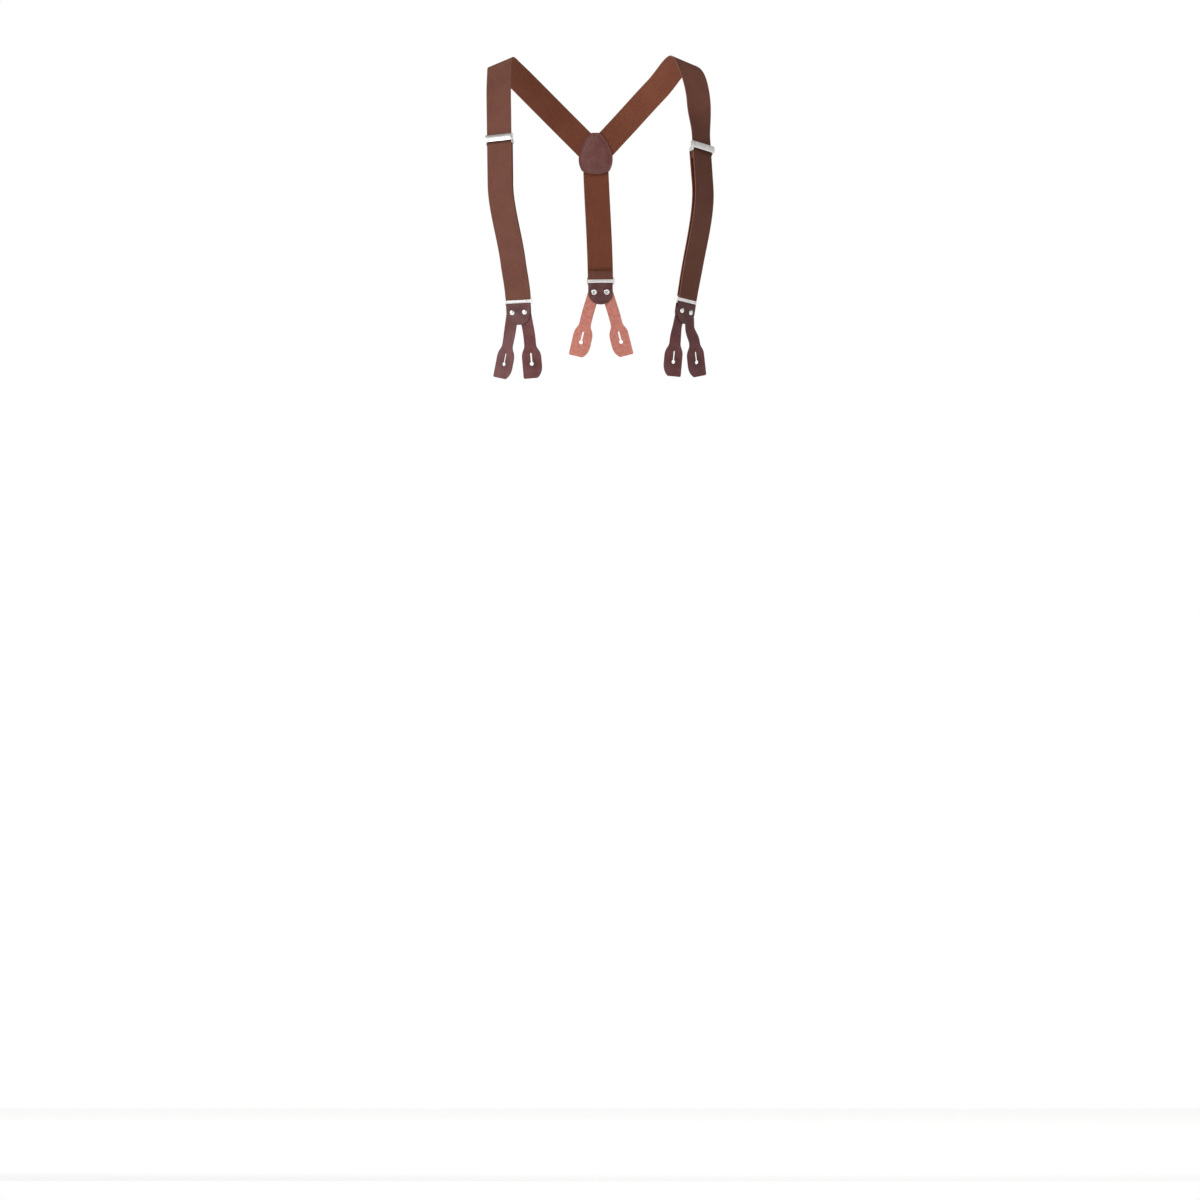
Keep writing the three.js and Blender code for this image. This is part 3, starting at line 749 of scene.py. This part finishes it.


# the third colour of each leather is the painted shade in the grain's pits
patch_leather = leather_material(
    "patch leather", (0.135, 0.044, 0.037, 1), (0.172, 0.068, 0.06, 1), (0.05, 0.016, 0.013, 1),
    grain=1500.0, pebbled=0.25, roughness=0.42,
)
OUTLINE = patch_outline()
PRESS_STEP = 1.1 * MM
lines_across = spaced(-24 * MM, 24 * MM, PRESS_STEP)
lines_along = spaced(-60 * MM, 0, PRESS_STEP)
# facing is the way each leather's good side looks, and seat its middle plane from the rear straps' plane
for name, node, facing, seat in (
    ("patch_leather_inner", "patch_inner", -1, -1.9 * MM),
    ("patch_leather_outer", "patch_outer", 1, 3.6 * MM),
):
    blank = cut_out(OUTLINE, [], PATCH_THICK, 0.45 * MM, lines_across, lines_along, rounding=3)

    def press(point):
        inset = inset_from(OUTLINE, point.xy)
        rise = DOME * (0.45 * smooth(inset, CREASE_INSET, 8 * MM) + 0.55 * smooth(inset, 3 * MM, 22 * MM))
        rise -= CREASE_DEPTH * math.exp(-((inset - CREASE_INSET) / (0.7 * MM)) ** 2)
        rise -= EDGE_DROP * smooth(EDGE_REACH - inset, 0, EDGE_REACH)
        depth = BACK_PLANE * MM + seat + facing * (rise + point.z)
        return Vector((PATCH_X * MM + point.x, depth, PATCH_TOP + point.y))

    patch = finished(name, blank, [patch_leather], press)
    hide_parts(node)
    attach(patch, "harness")

    seam = stepped_along(OUTLINE, CREASE_INSET / MM, STITCH_STEP / MM)
    stitches = []
    for first, last in zip(seam, seam[1:]):
        ends = [press(Vector((x * MM, y * MM, facing * PATCH_THICK / 2))) for x, y in (first, last)]
        gap = (ends[1] - ends[0]) * (1 - STITCH_LENGTH / STITCH_STEP) / 2
        stitches.append((ends[0] + gap, ends[1] - gap, Vector((0, facing, 0))))
    patch_thread = sew(f"{node}_thread", stitches)
    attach(patch_thread, "harness")


# ---- metal end loops ----------------------------------------------------------------
# Each strap ends in a cast loop with three bars, nickel plated and tumbled
# bright. The webbing turns round the top bar and the leather keeper round the
# bottom one. The middle bar shows between them and swells to its middle.
LOOP_HALF = 19.7
LOOP_CORNER = 3.0
LOOP_TOP = 0.85
LOOP_BOTTOM = -10.45
LOOP_PLATE = 1.7 * MM
SLOT_HALF = 17.2
SWELL_REACH = 18
SWELL = 0.55
UPPER_SLOT = (-0.7, -3.3)
LOWER_SLOT = (-6.3, -8.9)


def nickel_material():
    material, start = new_material("bright nickel")
    where = start.node("TexCoord", {}, {}, output=3)
    drawn_out = start.node("VectorMath", {"operation": "MULTIPLY"}, {0: where, 1: (0.12, 1.0, 1.0)})
    brushed = noise(start, drawn_out, 2600.0, 3.0)
    smudge = noise(start, where, 160.0, 4.0)
    spots = noise(start, where, 1400.0, 2.0).step(0.66, 0.78)
    colour = blended(start, smudge.step(0.35, 0.7), (0.86, 0.85, 0.83, 1), (0.76, 0.75, 0.74, 1))
    colour = blended(start, spots * 0.35, colour, (0.5, 0.48, 0.45, 1))
    relief = start.node("Bump", {}, {"Strength": 0.05, "Distance": 0.00004, "Height": brushed})
    principled(start, {
        "Base Color": colour, "Metallic": 1.0, "Roughness": 0.2 + 0.1 * smudge + 0.08 * spots,
        "Normal": relief,
    })
    return material


nickel = nickel_material()


def rounded_box(half, low, high, corner):
    """A rectangle with round corners, its middle on the strap's middle line."""
    points = []
    for x, y, start in ((half - corner, high - corner, 0), (corner - half, high - corner, 90),
                        (corner - half, low + corner, 180), (half - corner, low + corner, 270)):
        points += arc((x, y), corner, start, start + 90, 6)
    return points


def slot_outline(top, bottom, swell_top, swell_bottom):
    """A slot whose edge beside the middle bar is drawn in, so that the bar swells."""
    points = []
    steps = 12
    for edge, swell, way in ((top, swell_top, 1), (bottom, swell_bottom, -1)):
        for i in range(steps + 1):
            across = way * SLOT_HALF * (1 - 2 * i / steps)
            bow = swell * (across / SWELL_REACH) ** 2
            points.append((across, edge + bow))
    return points


def fitting_axes(place, leg):
    """The frame of an end fitting, at the middle of the webbing's fold round the loop."""
    hinge = joints["loop_hinge_" + place]
    out = Vector(joints["leg_swivel_" + leg]["axis"])
    return strap_axes(hinge, out.cross(Vector(hinge["axis"])))


# which rivet, which way the wearer's middle is, and degrees of spread, twist, sway and lean
LEGS = {
    "left": {"front_left_outer": (-1, 1, 11, -18, -3, 0), "front_left_inner": (1, 1, 8, 8, -6, 0)},
    "right": {"front_right_inner": (-1, -1, 4, -22, 9, 0), "front_right_outer": (1, -1, 15, -16, 6, 26)},
    "back": {"back_left": (1, -1, 17.5, 0, -4, 0), "back_right": (-1, 1, 17.5, 0, 4, 0)},
}
fittings = {place: fitting_axes(place, next(iter(legs))) for place, legs in LEGS.items()}

for place, axes in fittings.items():
    slots = [slot_outline(*UPPER_SLOT, 0, -SWELL), slot_outline(*LOWER_SLOT, SWELL, 0)]
    blank = cut_out(
        rounded_box(LOOP_HALF, LOOP_BOTTOM, LOOP_TOP, LOOP_CORNER), slots, LOOP_PLATE, 0.62 * MM,
        spaced(-20 * MM, 20 * MM, 2.5 * MM), rounding=4,
    )
    end_loop = finished(f"loop_{place}", blank, [nickel], lambda point: axes @ point)
    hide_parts(f"end_loop_{place}")
    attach(end_loop, f"loop_{place}")


# ---- leather keepers ------------------------------------------------------------------
# A keeper is one strip of pebble-grained leather with round ends, folded over
# the loop's bottom bar so that its two flaps lie face to face with the legs
# between them. Both flaps are punched for the two rivets, and the leather is
# pressed down round each cap.
BAR_ALONG = -9.6 * MM
KEEPER_HALF = 17
KEEPER_THICK = 1.6 * MM
KEEPER_FOLD = 2.1 * MM
FLAP_ROUND = 10.3 * MM
RIVET_ALONG = -19.5 * MM
RIVET_ACROSS = 8.75 * MM
RIVET_HOLE = 1.8
CAP_DENT = 0.4 * MM

keeper_leather = leather_material(
    "keeper leather", (0.1, 0.032, 0.03, 1), (0.17, 0.07, 0.07, 1), (0.03, 0.009, 0.008, 1),
    grain=1150.0, pebbled=0.85, roughness=0.38,
)


def shaded_edge_material(name, colour, highlight):
    """The cut edge of leather: loose fibres in lengthwise layers, waxed, and painted darker than the grain as
    shade, so that each piece has a dark outline.
    """
    material, start = new_material(name)
    where = start.node("TexCoord", {}, {}, output=3)
    fibres = noise(start, where, 1900.0, 4.0, 0.7)
    colour = blended(start, fibres.step(0.3, 0.75), colour, highlight)
    relief = start.node("Bump", {}, {"Strength": 0.6, "Distance": 0.00015, "Height": fibres})
    principled(start, {"Base Color": colour, "Roughness": 0.72, "Normal": relief})
    return material


# painted shade: the keeper's cut edges are coloured near black so that they read as the shadow round the
# keeper
keeper_shaded_edge = shaded_edge_material("keeper cut edge painted dark as shade", (0.028, 0.009, 0.008, 1), (0.085, 0.032, 0.028, 1))


def leather_side(face):
    """0 for the grain side, 1 for the cut edge, 2 for the flesh side."""
    level = face.normal.z
    return 0 if level > 0.6 else 2 if level < -0.6 else 1


def rivet_hole(x, y):
    return arc((x, y), RIVET_HOLE, 360, 0, 20)[:-1]


quarter = KEEPER_FOLD * math.pi / 2
flap_centre = (quarter + FLAP_ROUND) / MM
rivet_run = quarter + BAR_ALONG - RIVET_ALONG
for place, axes in fittings.items():
    blank_outline = arc((0, flap_centre), KEEPER_HALF, 0, 180, 32)
    blank_outline += arc((0, -flap_centre), KEEPER_HALF, 180, 360, 32)
    holes = [rivet_hole(x * RIVET_ACROSS / MM, y * rivet_run / MM) for x in (-1, 1) for y in (-1, 1)]
    blank = cut_out(
        blank_outline, holes, KEEPER_THICK, 0.4 * MM,
        spaced(-KEEPER_HALF * MM, KEEPER_HALF * MM, 0.95 * MM), spaced(-31 * MM, 31 * MM, 0.95 * MM),
    )

    def fold(point):
        dent = 0.0
        for x in (-1, 1):
            for y in (-1, 1):
                away = math.hypot(point.x - x * RIVET_ACROSS, point.y - y * rivet_run)
                dent += CAP_DENT * (1 - smooth(away, 3.2 * MM, 5.6 * MM))
        if point.z < 0:
            dent = 0.0
        radius = KEEPER_FOLD + point.z - dent
        if abs(point.y) < quarter:
            angle = point.y / KEEPER_FOLD
            bent = Vector((point.x, BAR_ALONG + radius * math.cos(angle), radius * math.sin(angle)))
        else:
            way = math.copysign(1, point.y)
            bent = Vector((point.x, BAR_ALONG - abs(point.y) + quarter, way * radius))
        return axes @ bent

    leathers = [keeper_leather, keeper_shaded_edge, keeper_leather]
    keeper = finished(f"keeper_leather_{place}", blank, leathers, fold, leather_side)
    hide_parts(f"keeper_{place}")
    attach(keeper, f"tab_{place}")


# ---- rivets -----------------------------------------------------------------------------
# Nickel-plated tubular rivets. The domed cap shows on the outside, and on the
# wearer's side the tube's end is rolled back into a ring with an open centre.
FLAP_FACE = 2.9
CAP_RADIUS = 3.7
CAP_TOP = 4.8
ROLL_RADIUS = 3.9
BORE = 1.45


def turned(name, outline, axes, material, segments=40):
    """A piece turned on a lathe from an outline of (radius, height) points on its axis, in millimetres."""
    points, faces = [], []
    for radius, height in outline:
        for j in range(segments):
            angle = 2 * math.pi * j / segments
            spot = Vector((radius * math.cos(angle), radius * math.sin(angle), height)) * MM
            points.append(axes @ spot)
    for i in range(len(outline) - 1):
        for j in range(segments):
            k = (j + 1) % segments
            faces.append((i * segments + j, i * segments + k, (i + 1) * segments + k, (i + 1) * segments + j))
    piece = new_piece(name, points, faces, [material])
    shape = bmesh.new()
    shape.from_mesh(piece.data)
    bmesh.ops.remove_doubles(shape, verts=shape.verts, dist=1e-6)
    bmesh.ops.recalc_face_normals(shape, faces=shape.faces)
    shape.to_mesh(piece.data)
    shape.free()
    return piece


def rivet_outline():
    rear = -FLAP_FACE - 1.4
    points = [(0, rear + 3), (BORE, rear + 3), (BORE, rear + 0.7)]
    roll = (ROLL_RADIUS - BORE) / 2
    ring = arc((BORE + roll, rear + 0.75), roll, 180, 360, 12)
    points += [(x, rear + 0.75 + (y - rear - 0.75) * 0.6) for x, y in ring]
    points += [(ROLL_RADIUS - 0.15, -FLAP_FACE + 0.05), (1.5, -FLAP_FACE + 0.05), (1.5, FLAP_FACE - 0.35)]
    rim = FLAP_FACE + 0.15
    points += [(CAP_RADIUS - 0.3, FLAP_FACE - 0.35), (CAP_RADIUS, FLAP_FACE - 0.1), (CAP_RADIUS, rim)]
    for i in range(1, 13):
        angle = math.pi / 2 * i / 12
        points.append((CAP_RADIUS * math.cos(angle), rim + (CAP_TOP - rim) * math.sin(angle)))
    points[-1] = (0, CAP_TOP)
    return points


for place, legs in LEGS.items():
    for leg, (way, *_) in legs.items():
        axes = fittings[place] @ Matrix.Translation((way * RIVET_ACROSS, RIVET_ALONG, 0))
        rivet = turned(f"rivet_body_{leg}", rivet_outline(), axes, nickel)
        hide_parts(f"rivet_{leg}")
        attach(rivet, f"tab_{place}")


# ---- buttonhole legs -----------------------------------------------------------------------
# The legs are strap leather, dyed on the grain side and left bare on the flesh
# side. Each is a narrow shank that flares into a head with a keyhole for the
# trouser button, and it turns a little between the two to lie on the waistband.
LEG_THICK = 2.0 * MM
SHANK = 8.2
ABOVE_RIVET = 6.6
STRAIGHT_SIDE = 12.8
ROUND_SIDE = 14
LEG_LENGTH = 92
SHANK_END = 45
STRAIGHT_FOOT = 10.8
ROUND_FOOT = 6.5
FOOT_CORNER = 2.6
BEND = (20, SHANK_END)
BUTTONHOLE = 72
HOLE = 2.7
SLIT = 1.1
SLIT_TOP = 57


def leg_material():
    material, start = new_material("leg leather")
    flat = drawn_at(start)
    where = start.node("TexCoord", {}, {}, output=3)
    fibre = start.node("VectorMath", {"operation": "MULTIPLY"}, {0: flat, 1: (1.0, 0.2, 1.0)})
    grain = noise(start, where, 1500.0, 5.0, 0.62)
    pores = start.node("TexVoronoi", {"feature": "F1"}, {"Vector": where, "Scale": 1700.0})
    streaks = noise(start, fibre, 260.0, 3.0)
    cloudy = noise(start, flat, 70.0, 4.0)
    hole_at = (0, -BUTTONHOLE * MM, 0)
    from_hole = start.node("VectorMath", {"operation": "DISTANCE"}, {0: flat, 1: hole_at}, output=1)
    rubbed = 1 - from_hole.step(3 * MM, 10.5 * MM)
    tone = blended(start, cloudy.step(0.3, 0.7), (0.096, 0.025, 0.024, 1), (0.142, 0.047, 0.048, 1))
    tone = blended(start, streaks.step(0.4, 0.8) * 0.3, tone, (0.175, 0.07, 0.074, 1))
    tone = blended(start, rubbed * 0.55, tone, (0.055, 0.018, 0.016, 1))
    height = grain * 0.6 + pores * 0.5 + streaks * 0.3
    relief = start.node("Bump", {}, {"Strength": 0.38, "Distance": 0.00018, "Height": height})
    principled(start, {
        "Base Color": tone, "Roughness": 0.38 + 0.2 * cloudy, "Normal": relief,
        "Specular IOR Level": 0.32, "Coat Weight": 0.06, "Coat Roughness": 0.35,
    })
    return material


def flesh_material():
    material, start = new_material("flesh side")
    flat = drawn_at(start)
    fibre = start.node("VectorMath", {"operation": "MULTIPLY"}, {0: flat, 1: (1.0, 0.35, 1.0)})
    nap = noise(start, fibre, 1500.0, 5.0, 0.7)
    mottled = noise(start, flat, 210.0, 4.0)
    tone = blended(start, mottled.step(0.3, 0.7), (0.5, 0.165, 0.125, 1), (0.62, 0.25, 0.2, 1))
    tone = blended(start, nap.step(0.45, 0.8) * 0.3, tone, (0.72, 0.38, 0.32, 1))
    relief = start.node("Bump", {}, {"Strength": 0.6, "Distance": 0.0002, "Height": nap})
    principled(start, {
        "Base Color": tone, "Roughness": 0.9, "Normal": relief, "Sheen Weight": 0.25,
        "Sheen Roughness": 0.5, "Specular IOR Level": 0.25,
    })
    return material


leg_grain = leg_material()
leg_flesh = flesh_material()
# painted shade: the legs' cut edges are coloured dark so that they read as a shaded outline
leg_shaded_edge = shaded_edge_material("leg cut edge painted dark as shade", (0.05, 0.017, 0.015, 1), (0.14, 0.055, 0.05, 1))


def leg_outline(middle):
    """The head is straight on one side and round on the side towards the wearer's middle."""
    x, foot = -STRAIGHT_SIDE, -LEG_LENGTH
    neck = (-SHANK, -SHANK_END)
    straight_side = [neck] + bend([neck, (-SHANK, -53), (x, -53), (x, -63)], 12)
    straight_side += [(x, foot + FOOT_CORNER)]
    straight_side += bend([(x, foot + FOOT_CORNER), (x, foot), (-STRAIGHT_FOOT, foot)], 5)
    x = ROUND_SIDE
    neck = (SHANK, -SHANK_END)
    round_side = [neck] + bend([neck, (SHANK, -53), (x, -53), (x, -65)], 12)
    round_side += bend([(x, -65), (x, -70), (x, -75)], 3)
    round_side += bend([(x, -75), (x, foot + 6), (ROUND_FOOT, foot)], 9)
    top_end = [(x, y * ABOVE_RIVET / SHANK) for x, y in arc((0, 0), SHANK, 0, 180, 20)]
    outline = top_end + straight_side + round_side[::-1]
    return outline if middle > 0 else [(-x, y) for x, y in reversed(outline)]


def keyhole():
    opening = math.degrees(math.asin(SLIT / HOLE))
    around_hole = arc((0, -BUTTONHOLE), HOLE, 90 + opening, 450 - opening, 28)
    slit_end = arc((0, -SLIT_TOP - SLIT), SLIT, 0, 180, 8)
    return list(reversed(around_hole + slit_end))


def heading(sway, lean, share):
    """Which way a leg points at a share of the way down its bend."""
    return sway * smooth(share, 0, 1) + lean * math.sin(math.pi * share)


def bent_line(sway, lean):
    """The middle of a leg between its flat ends: where it is at a distance down from the rivet."""
    steps = 50
    row = (BEND[1] - BEND[0]) * MM / steps
    places = [Vector((0, -BEND[0] * MM, 0))]
    for i in range(steps):
        angle = heading(sway, lean, (i + 0.5) / steps)
        places.append(places[-1] + Vector((math.sin(angle), -math.cos(angle), 0)) * row)

    def at(down):
        reached = (down - BEND[0] * MM) / row
        low = min(int(reached), steps - 1)
        return places[low].lerp(places[low + 1], reached - low)

    return at


for place, legs in LEGS.items():
    for leg, (way, middle, spread, *bends) in legs.items():
        blank = cut_out(
            leg_outline(middle), [rivet_hole(0, 0), keyhole()], LEG_THICK, 0.32 * MM,
            cuts_along=spaced(-LEG_LENGTH * MM, 7 * MM, 1.4 * MM),
        )
        axes = fittings[place] @ Matrix.Translation((way * RIVET_ACROSS, RIVET_ALONG, 0))
        axes = axes @ Matrix.Rotation(math.radians(way * spread), 4, "Z")

        twist, sway, lean = (math.radians(angle) for angle in bends)
        line = bent_line(sway, lean)

        def turn_head(point):
            down = min(max(-point.y, BEND[0] * MM), BEND[1] * MM)
            share = (down / MM - BEND[0]) / (BEND[1] - BEND[0])
            turned = Matrix.Rotation(heading(sway, lean, share), 3, "Z")
            turned = turned @ Matrix.Rotation(twist * smooth(down, BEND[0] * MM, BEND[1] * MM), 3, "Y")
            return axes @ (line(down) + turned @ Vector((point.x, point.y + down, point.z)))

        leathers = [leg_grain, leg_shaded_edge, leg_flesh]
        strap_leg = finished(f"buttonhole_leg_{leg}", blank, leathers, turn_head, leather_side)
        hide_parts(f"leg_{leg}")
        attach(strap_leg, f"leg_body_{leg}")


# ---- cam adjusters ----------------------------------------------------------------------------
# The adjuster's frame is a folded steel plate, with a bridge behind the webbing
# and a rear bar that holds the webbing's sewn end. The lever is a cover plate
# with a toothed barrel: closed, it turns the teeth down onto the webbing. It
# swings on a plain pin through the frame's two cheeks.
CHEEK = (18, 18.9)
COVER_HALF = 20
COVER = (-4.6, 5.2)
COVER_FACE = 5.6
COVER_THICK = 0.9
COVER_CROWN = 0.55
COVER_CORNER = 1.4
PIN_RADIUS = 0.6
PIN_HALF = 20.4
BARREL_RADIUS = 1.5
TEETH = 9


def set_across(low, high):
    """Turns an outline drawn along and out, with its thickness across, into strap coordinates."""
    middle = (low + high) / 2 * MM
    return lambda point: Vector((middle + point.z, point.x, point.y))


def set_out(low, high):
    middle = (low + high) / 2 * MM
    return lambda point: Vector((point.x, point.y, middle + point.z))


def part(outline, holes, low, high, edge, setting, rounding=2, cuts_across=()):
    """One plate of a metal piece, as a bmesh in strap coordinates."""
    shape = cut_out(outline, holes, (high - low) * MM, edge * MM, cuts_across, rounding=rounding)
    place = setting(low, high)
    for vertex in shape.verts:
        vertex.co = place(vertex.co)
    bmesh.ops.recalc_face_normals(shape, faces=shape.faces)
    return shape


def round_bar(radius, half, along, out, ends=0.25, segments=24):
    """A round bar across the strap with eased ends."""
    outline = [(0, -half), (radius - ends, -half), (radius, -half + ends), (radius, half - ends),
               (radius - ends, half), (0, half)]
    shape = bmesh.new()
    rings = []
    for spot_radius, across in outline:
        ring = []
        for j in range(segments):
            angle = 2 * math.pi * j / segments
            spot = (across, along + spot_radius * math.cos(angle), out + spot_radius * math.sin(angle))
            ring.append(shape.verts.new(Vector(spot) * MM))
        rings.append(ring)
    for first, second in zip(rings, rings[1:]):
        for j in range(segments):
            k = (j + 1) % segments
            shape.faces.new((first[j], first[k], second[k], second[j]))
    bmesh.ops.remove_doubles(shape, verts=shape.verts, dist=1e-6)
    bmesh.ops.recalc_face_normals(shape, faces=shape.faces)
    return shape


def assembled(name, shapes, axes):
    """Joins closed shapes into one piece and sets it in place."""
    whole = None
    for shape in shapes:
        mesh = bpy.data.meshes.new(name)
        shape.to_mesh(mesh)
        shape.free()
        added = bpy.data.objects.new(name, mesh)
        bpy.context.scene.collection.objects.link(added)
        if whole is None:
            whole = added
            continue
        union = whole.modifiers.new("join", "BOOLEAN")
        union.operation = "UNION"
        union.solver = "EXACT"
        union.object = added
        bpy.context.view_layer.update()
        joined = bpy.data.meshes.new_from_object(whole.evaluated_get(bpy.context.evaluated_depsgraph_get()))
        whole.modifiers.clear()
        whole.data = joined
        bpy.data.objects.remove(added)
    whole.data.transform(axes)
    whole.data.materials.clear()
    whole.data.materials.append(nickel)
    whole.data.shade_smooth()
    whole.data.set_sharp_from_angle(angle=math.radians(40))
    whole.name = name
    return whole


def cheek_outline():
    points = [(-7.4, -6.1), (-3.8, -6.1), (0, -2.2), (7, -2.2), (7, -1.0)]
    points += arc(LEVER_PIN, 1.5, -30, 150, 14)
    points += [(-6.4, 1.9), (-7.1, 1.5), (-7.4, 0.7)]
    return points


def cover_setting(low, high):
    """The cover plate, bowed along the strap so that its long edges come down."""
    middle = (low + high) / 2 * MM
    centre = sum(COVER) / 2 * MM
    reach = (COVER[1] - COVER[0]) / 2 * MM

    def place(point):
        drop = COVER_CROWN * MM * ((point.y - centre) / reach) ** 2
        ends = 0.5 * MM * smooth(abs(point.x), (COVER_HALF - 2.2) * MM, COVER_HALF * MM)
        return Vector((point.x, point.y, middle + point.z - drop - ends))

    return place


def tooth(across):
    """A small cone that bites into the webbing."""
    shape = bmesh.new()
    bmesh.ops.create_cone(shape, cap_ends=True, segments=8, radius1=1 * MM, radius2=0.2 * MM, depth=1.1 * MM)
    bmesh.ops.rotate(shape, verts=shape.verts, matrix=Matrix.Rotation(math.pi, 3, "X"))
    seat = Vector((across, LEVER_PIN[0], LEVER_PIN[1] - 1.6)) * MM
    bmesh.ops.translate(shape, verts=shape.verts, vec=seat)
    return shape


for side, axes in adjuster_axes.items():
    bridge = [(-CHEEK[1], 0), (CHEEK[1], 0), (CHEEK[1], 7), (-CHEEK[1], 7)]
    rear_bar = [(-6.5, -5.6), (-4.7, -5.6), (-4.7, -4.2), (-6.5, -4.2)]
    pin_hole = arc(LEVER_PIN, 0.9, 360, 0, 20)[:-1]
    frame_piece = assembled(f"adjuster_frame_metal_{side}", [
        part(cheek_outline(), [pin_hole], CHEEK[0], CHEEK[1], 0.22, set_across),
        part(cheek_outline(), [pin_hole], -CHEEK[1], -CHEEK[0], 0.22, set_across),
        part(bridge, [], -2.2, -1.0, 0.25, set_out),
        part(rear_bar, [], -CHEEK[1] + 0.1, CHEEK[1] - 0.1, 0.3, set_across, rounding=3),
    ], axes)
    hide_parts(f"adjuster_frame_{side}")
    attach(frame_piece, f"adjuster_{side}")

    ear = [(4.9, 5.2), (-3.6, 5.0), (-3.4, 4.2), (2.6, 1.8), (4.4, 1.3), (4.9, 1.8)]
    web = [(3.2, 3.8), (4.9, 3.8), (4.9, 5.0), (3.2, 5.0)]
    barrel_half = CHEEK[0] - 0.3
    shapes = [
        part(rounded_box(COVER_HALF, *COVER, COVER_CORNER), [], COVER_FACE - COVER_THICK, COVER_FACE, 0.3,
             cover_setting, 3, spaced(-COVER_HALF * MM, COVER_HALF * MM, 1.5 * MM)),
        part(ear, [], COVER_HALF - 0.8, COVER_HALF - 0.02, 0.2, set_across),
        part(ear, [], -COVER_HALF + 0.02, -COVER_HALF + 0.8, 0.2, set_across),
        round_bar(BARREL_RADIUS, barrel_half, *LEVER_PIN),
        part(web, [], -barrel_half, barrel_half, 0.1, set_across),
    ]
    spacing = (2 * barrel_half - 3) / TEETH
    shapes += [tooth((i - (TEETH - 1) / 2) * spacing) for i in range(TEETH)]
    lever = assembled(f"adjuster_lever_metal_{side}", shapes, axes)
    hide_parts(f"adjuster_lever_{side}")
    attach(lever, f"lever_{side}")

    pin = assembled(f"lever_pin_metal_{side}", [
        round_bar(PIN_RADIUS, PIN_HALF, *LEVER_PIN, ends=0.15),
    ], axes)
    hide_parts(f"lever_pin_{side}")
    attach(pin, f"adjuster_{side}")


# ---- floor ---------------------------------------------------------------------------------------
# A plain pale studio floor, at the height of the wearer's feet.
def floor_material():
    material, start = new_material("studio floor")
    where = start.node("TexCoord", {}, {}, output=3)
    mottled = noise(start, where, 3.0, 3.0)
    colour = blended(start, mottled, (0.93, 0.93, 0.93, 1), (0.96, 0.96, 0.955, 1))
    principled(start, {
        "Base Color": colour, "Roughness": 0.85, "Emission Color": colour, "Emission Strength": 0.7,
    })
    return material


FLOOR_HALF = 4.0
level = top - SHOULDER_HEIGHT
corners = [(-FLOOR_HALF, -FLOOR_HALF, level), (FLOOR_HALF, -FLOOR_HALF, level),
           (FLOOR_HALF, FLOOR_HALF, level), (-FLOOR_HALF, FLOOR_HALF, level)]
floor = new_piece("floor", corners, [(0, 1, 2, 3)], [floor_material()])
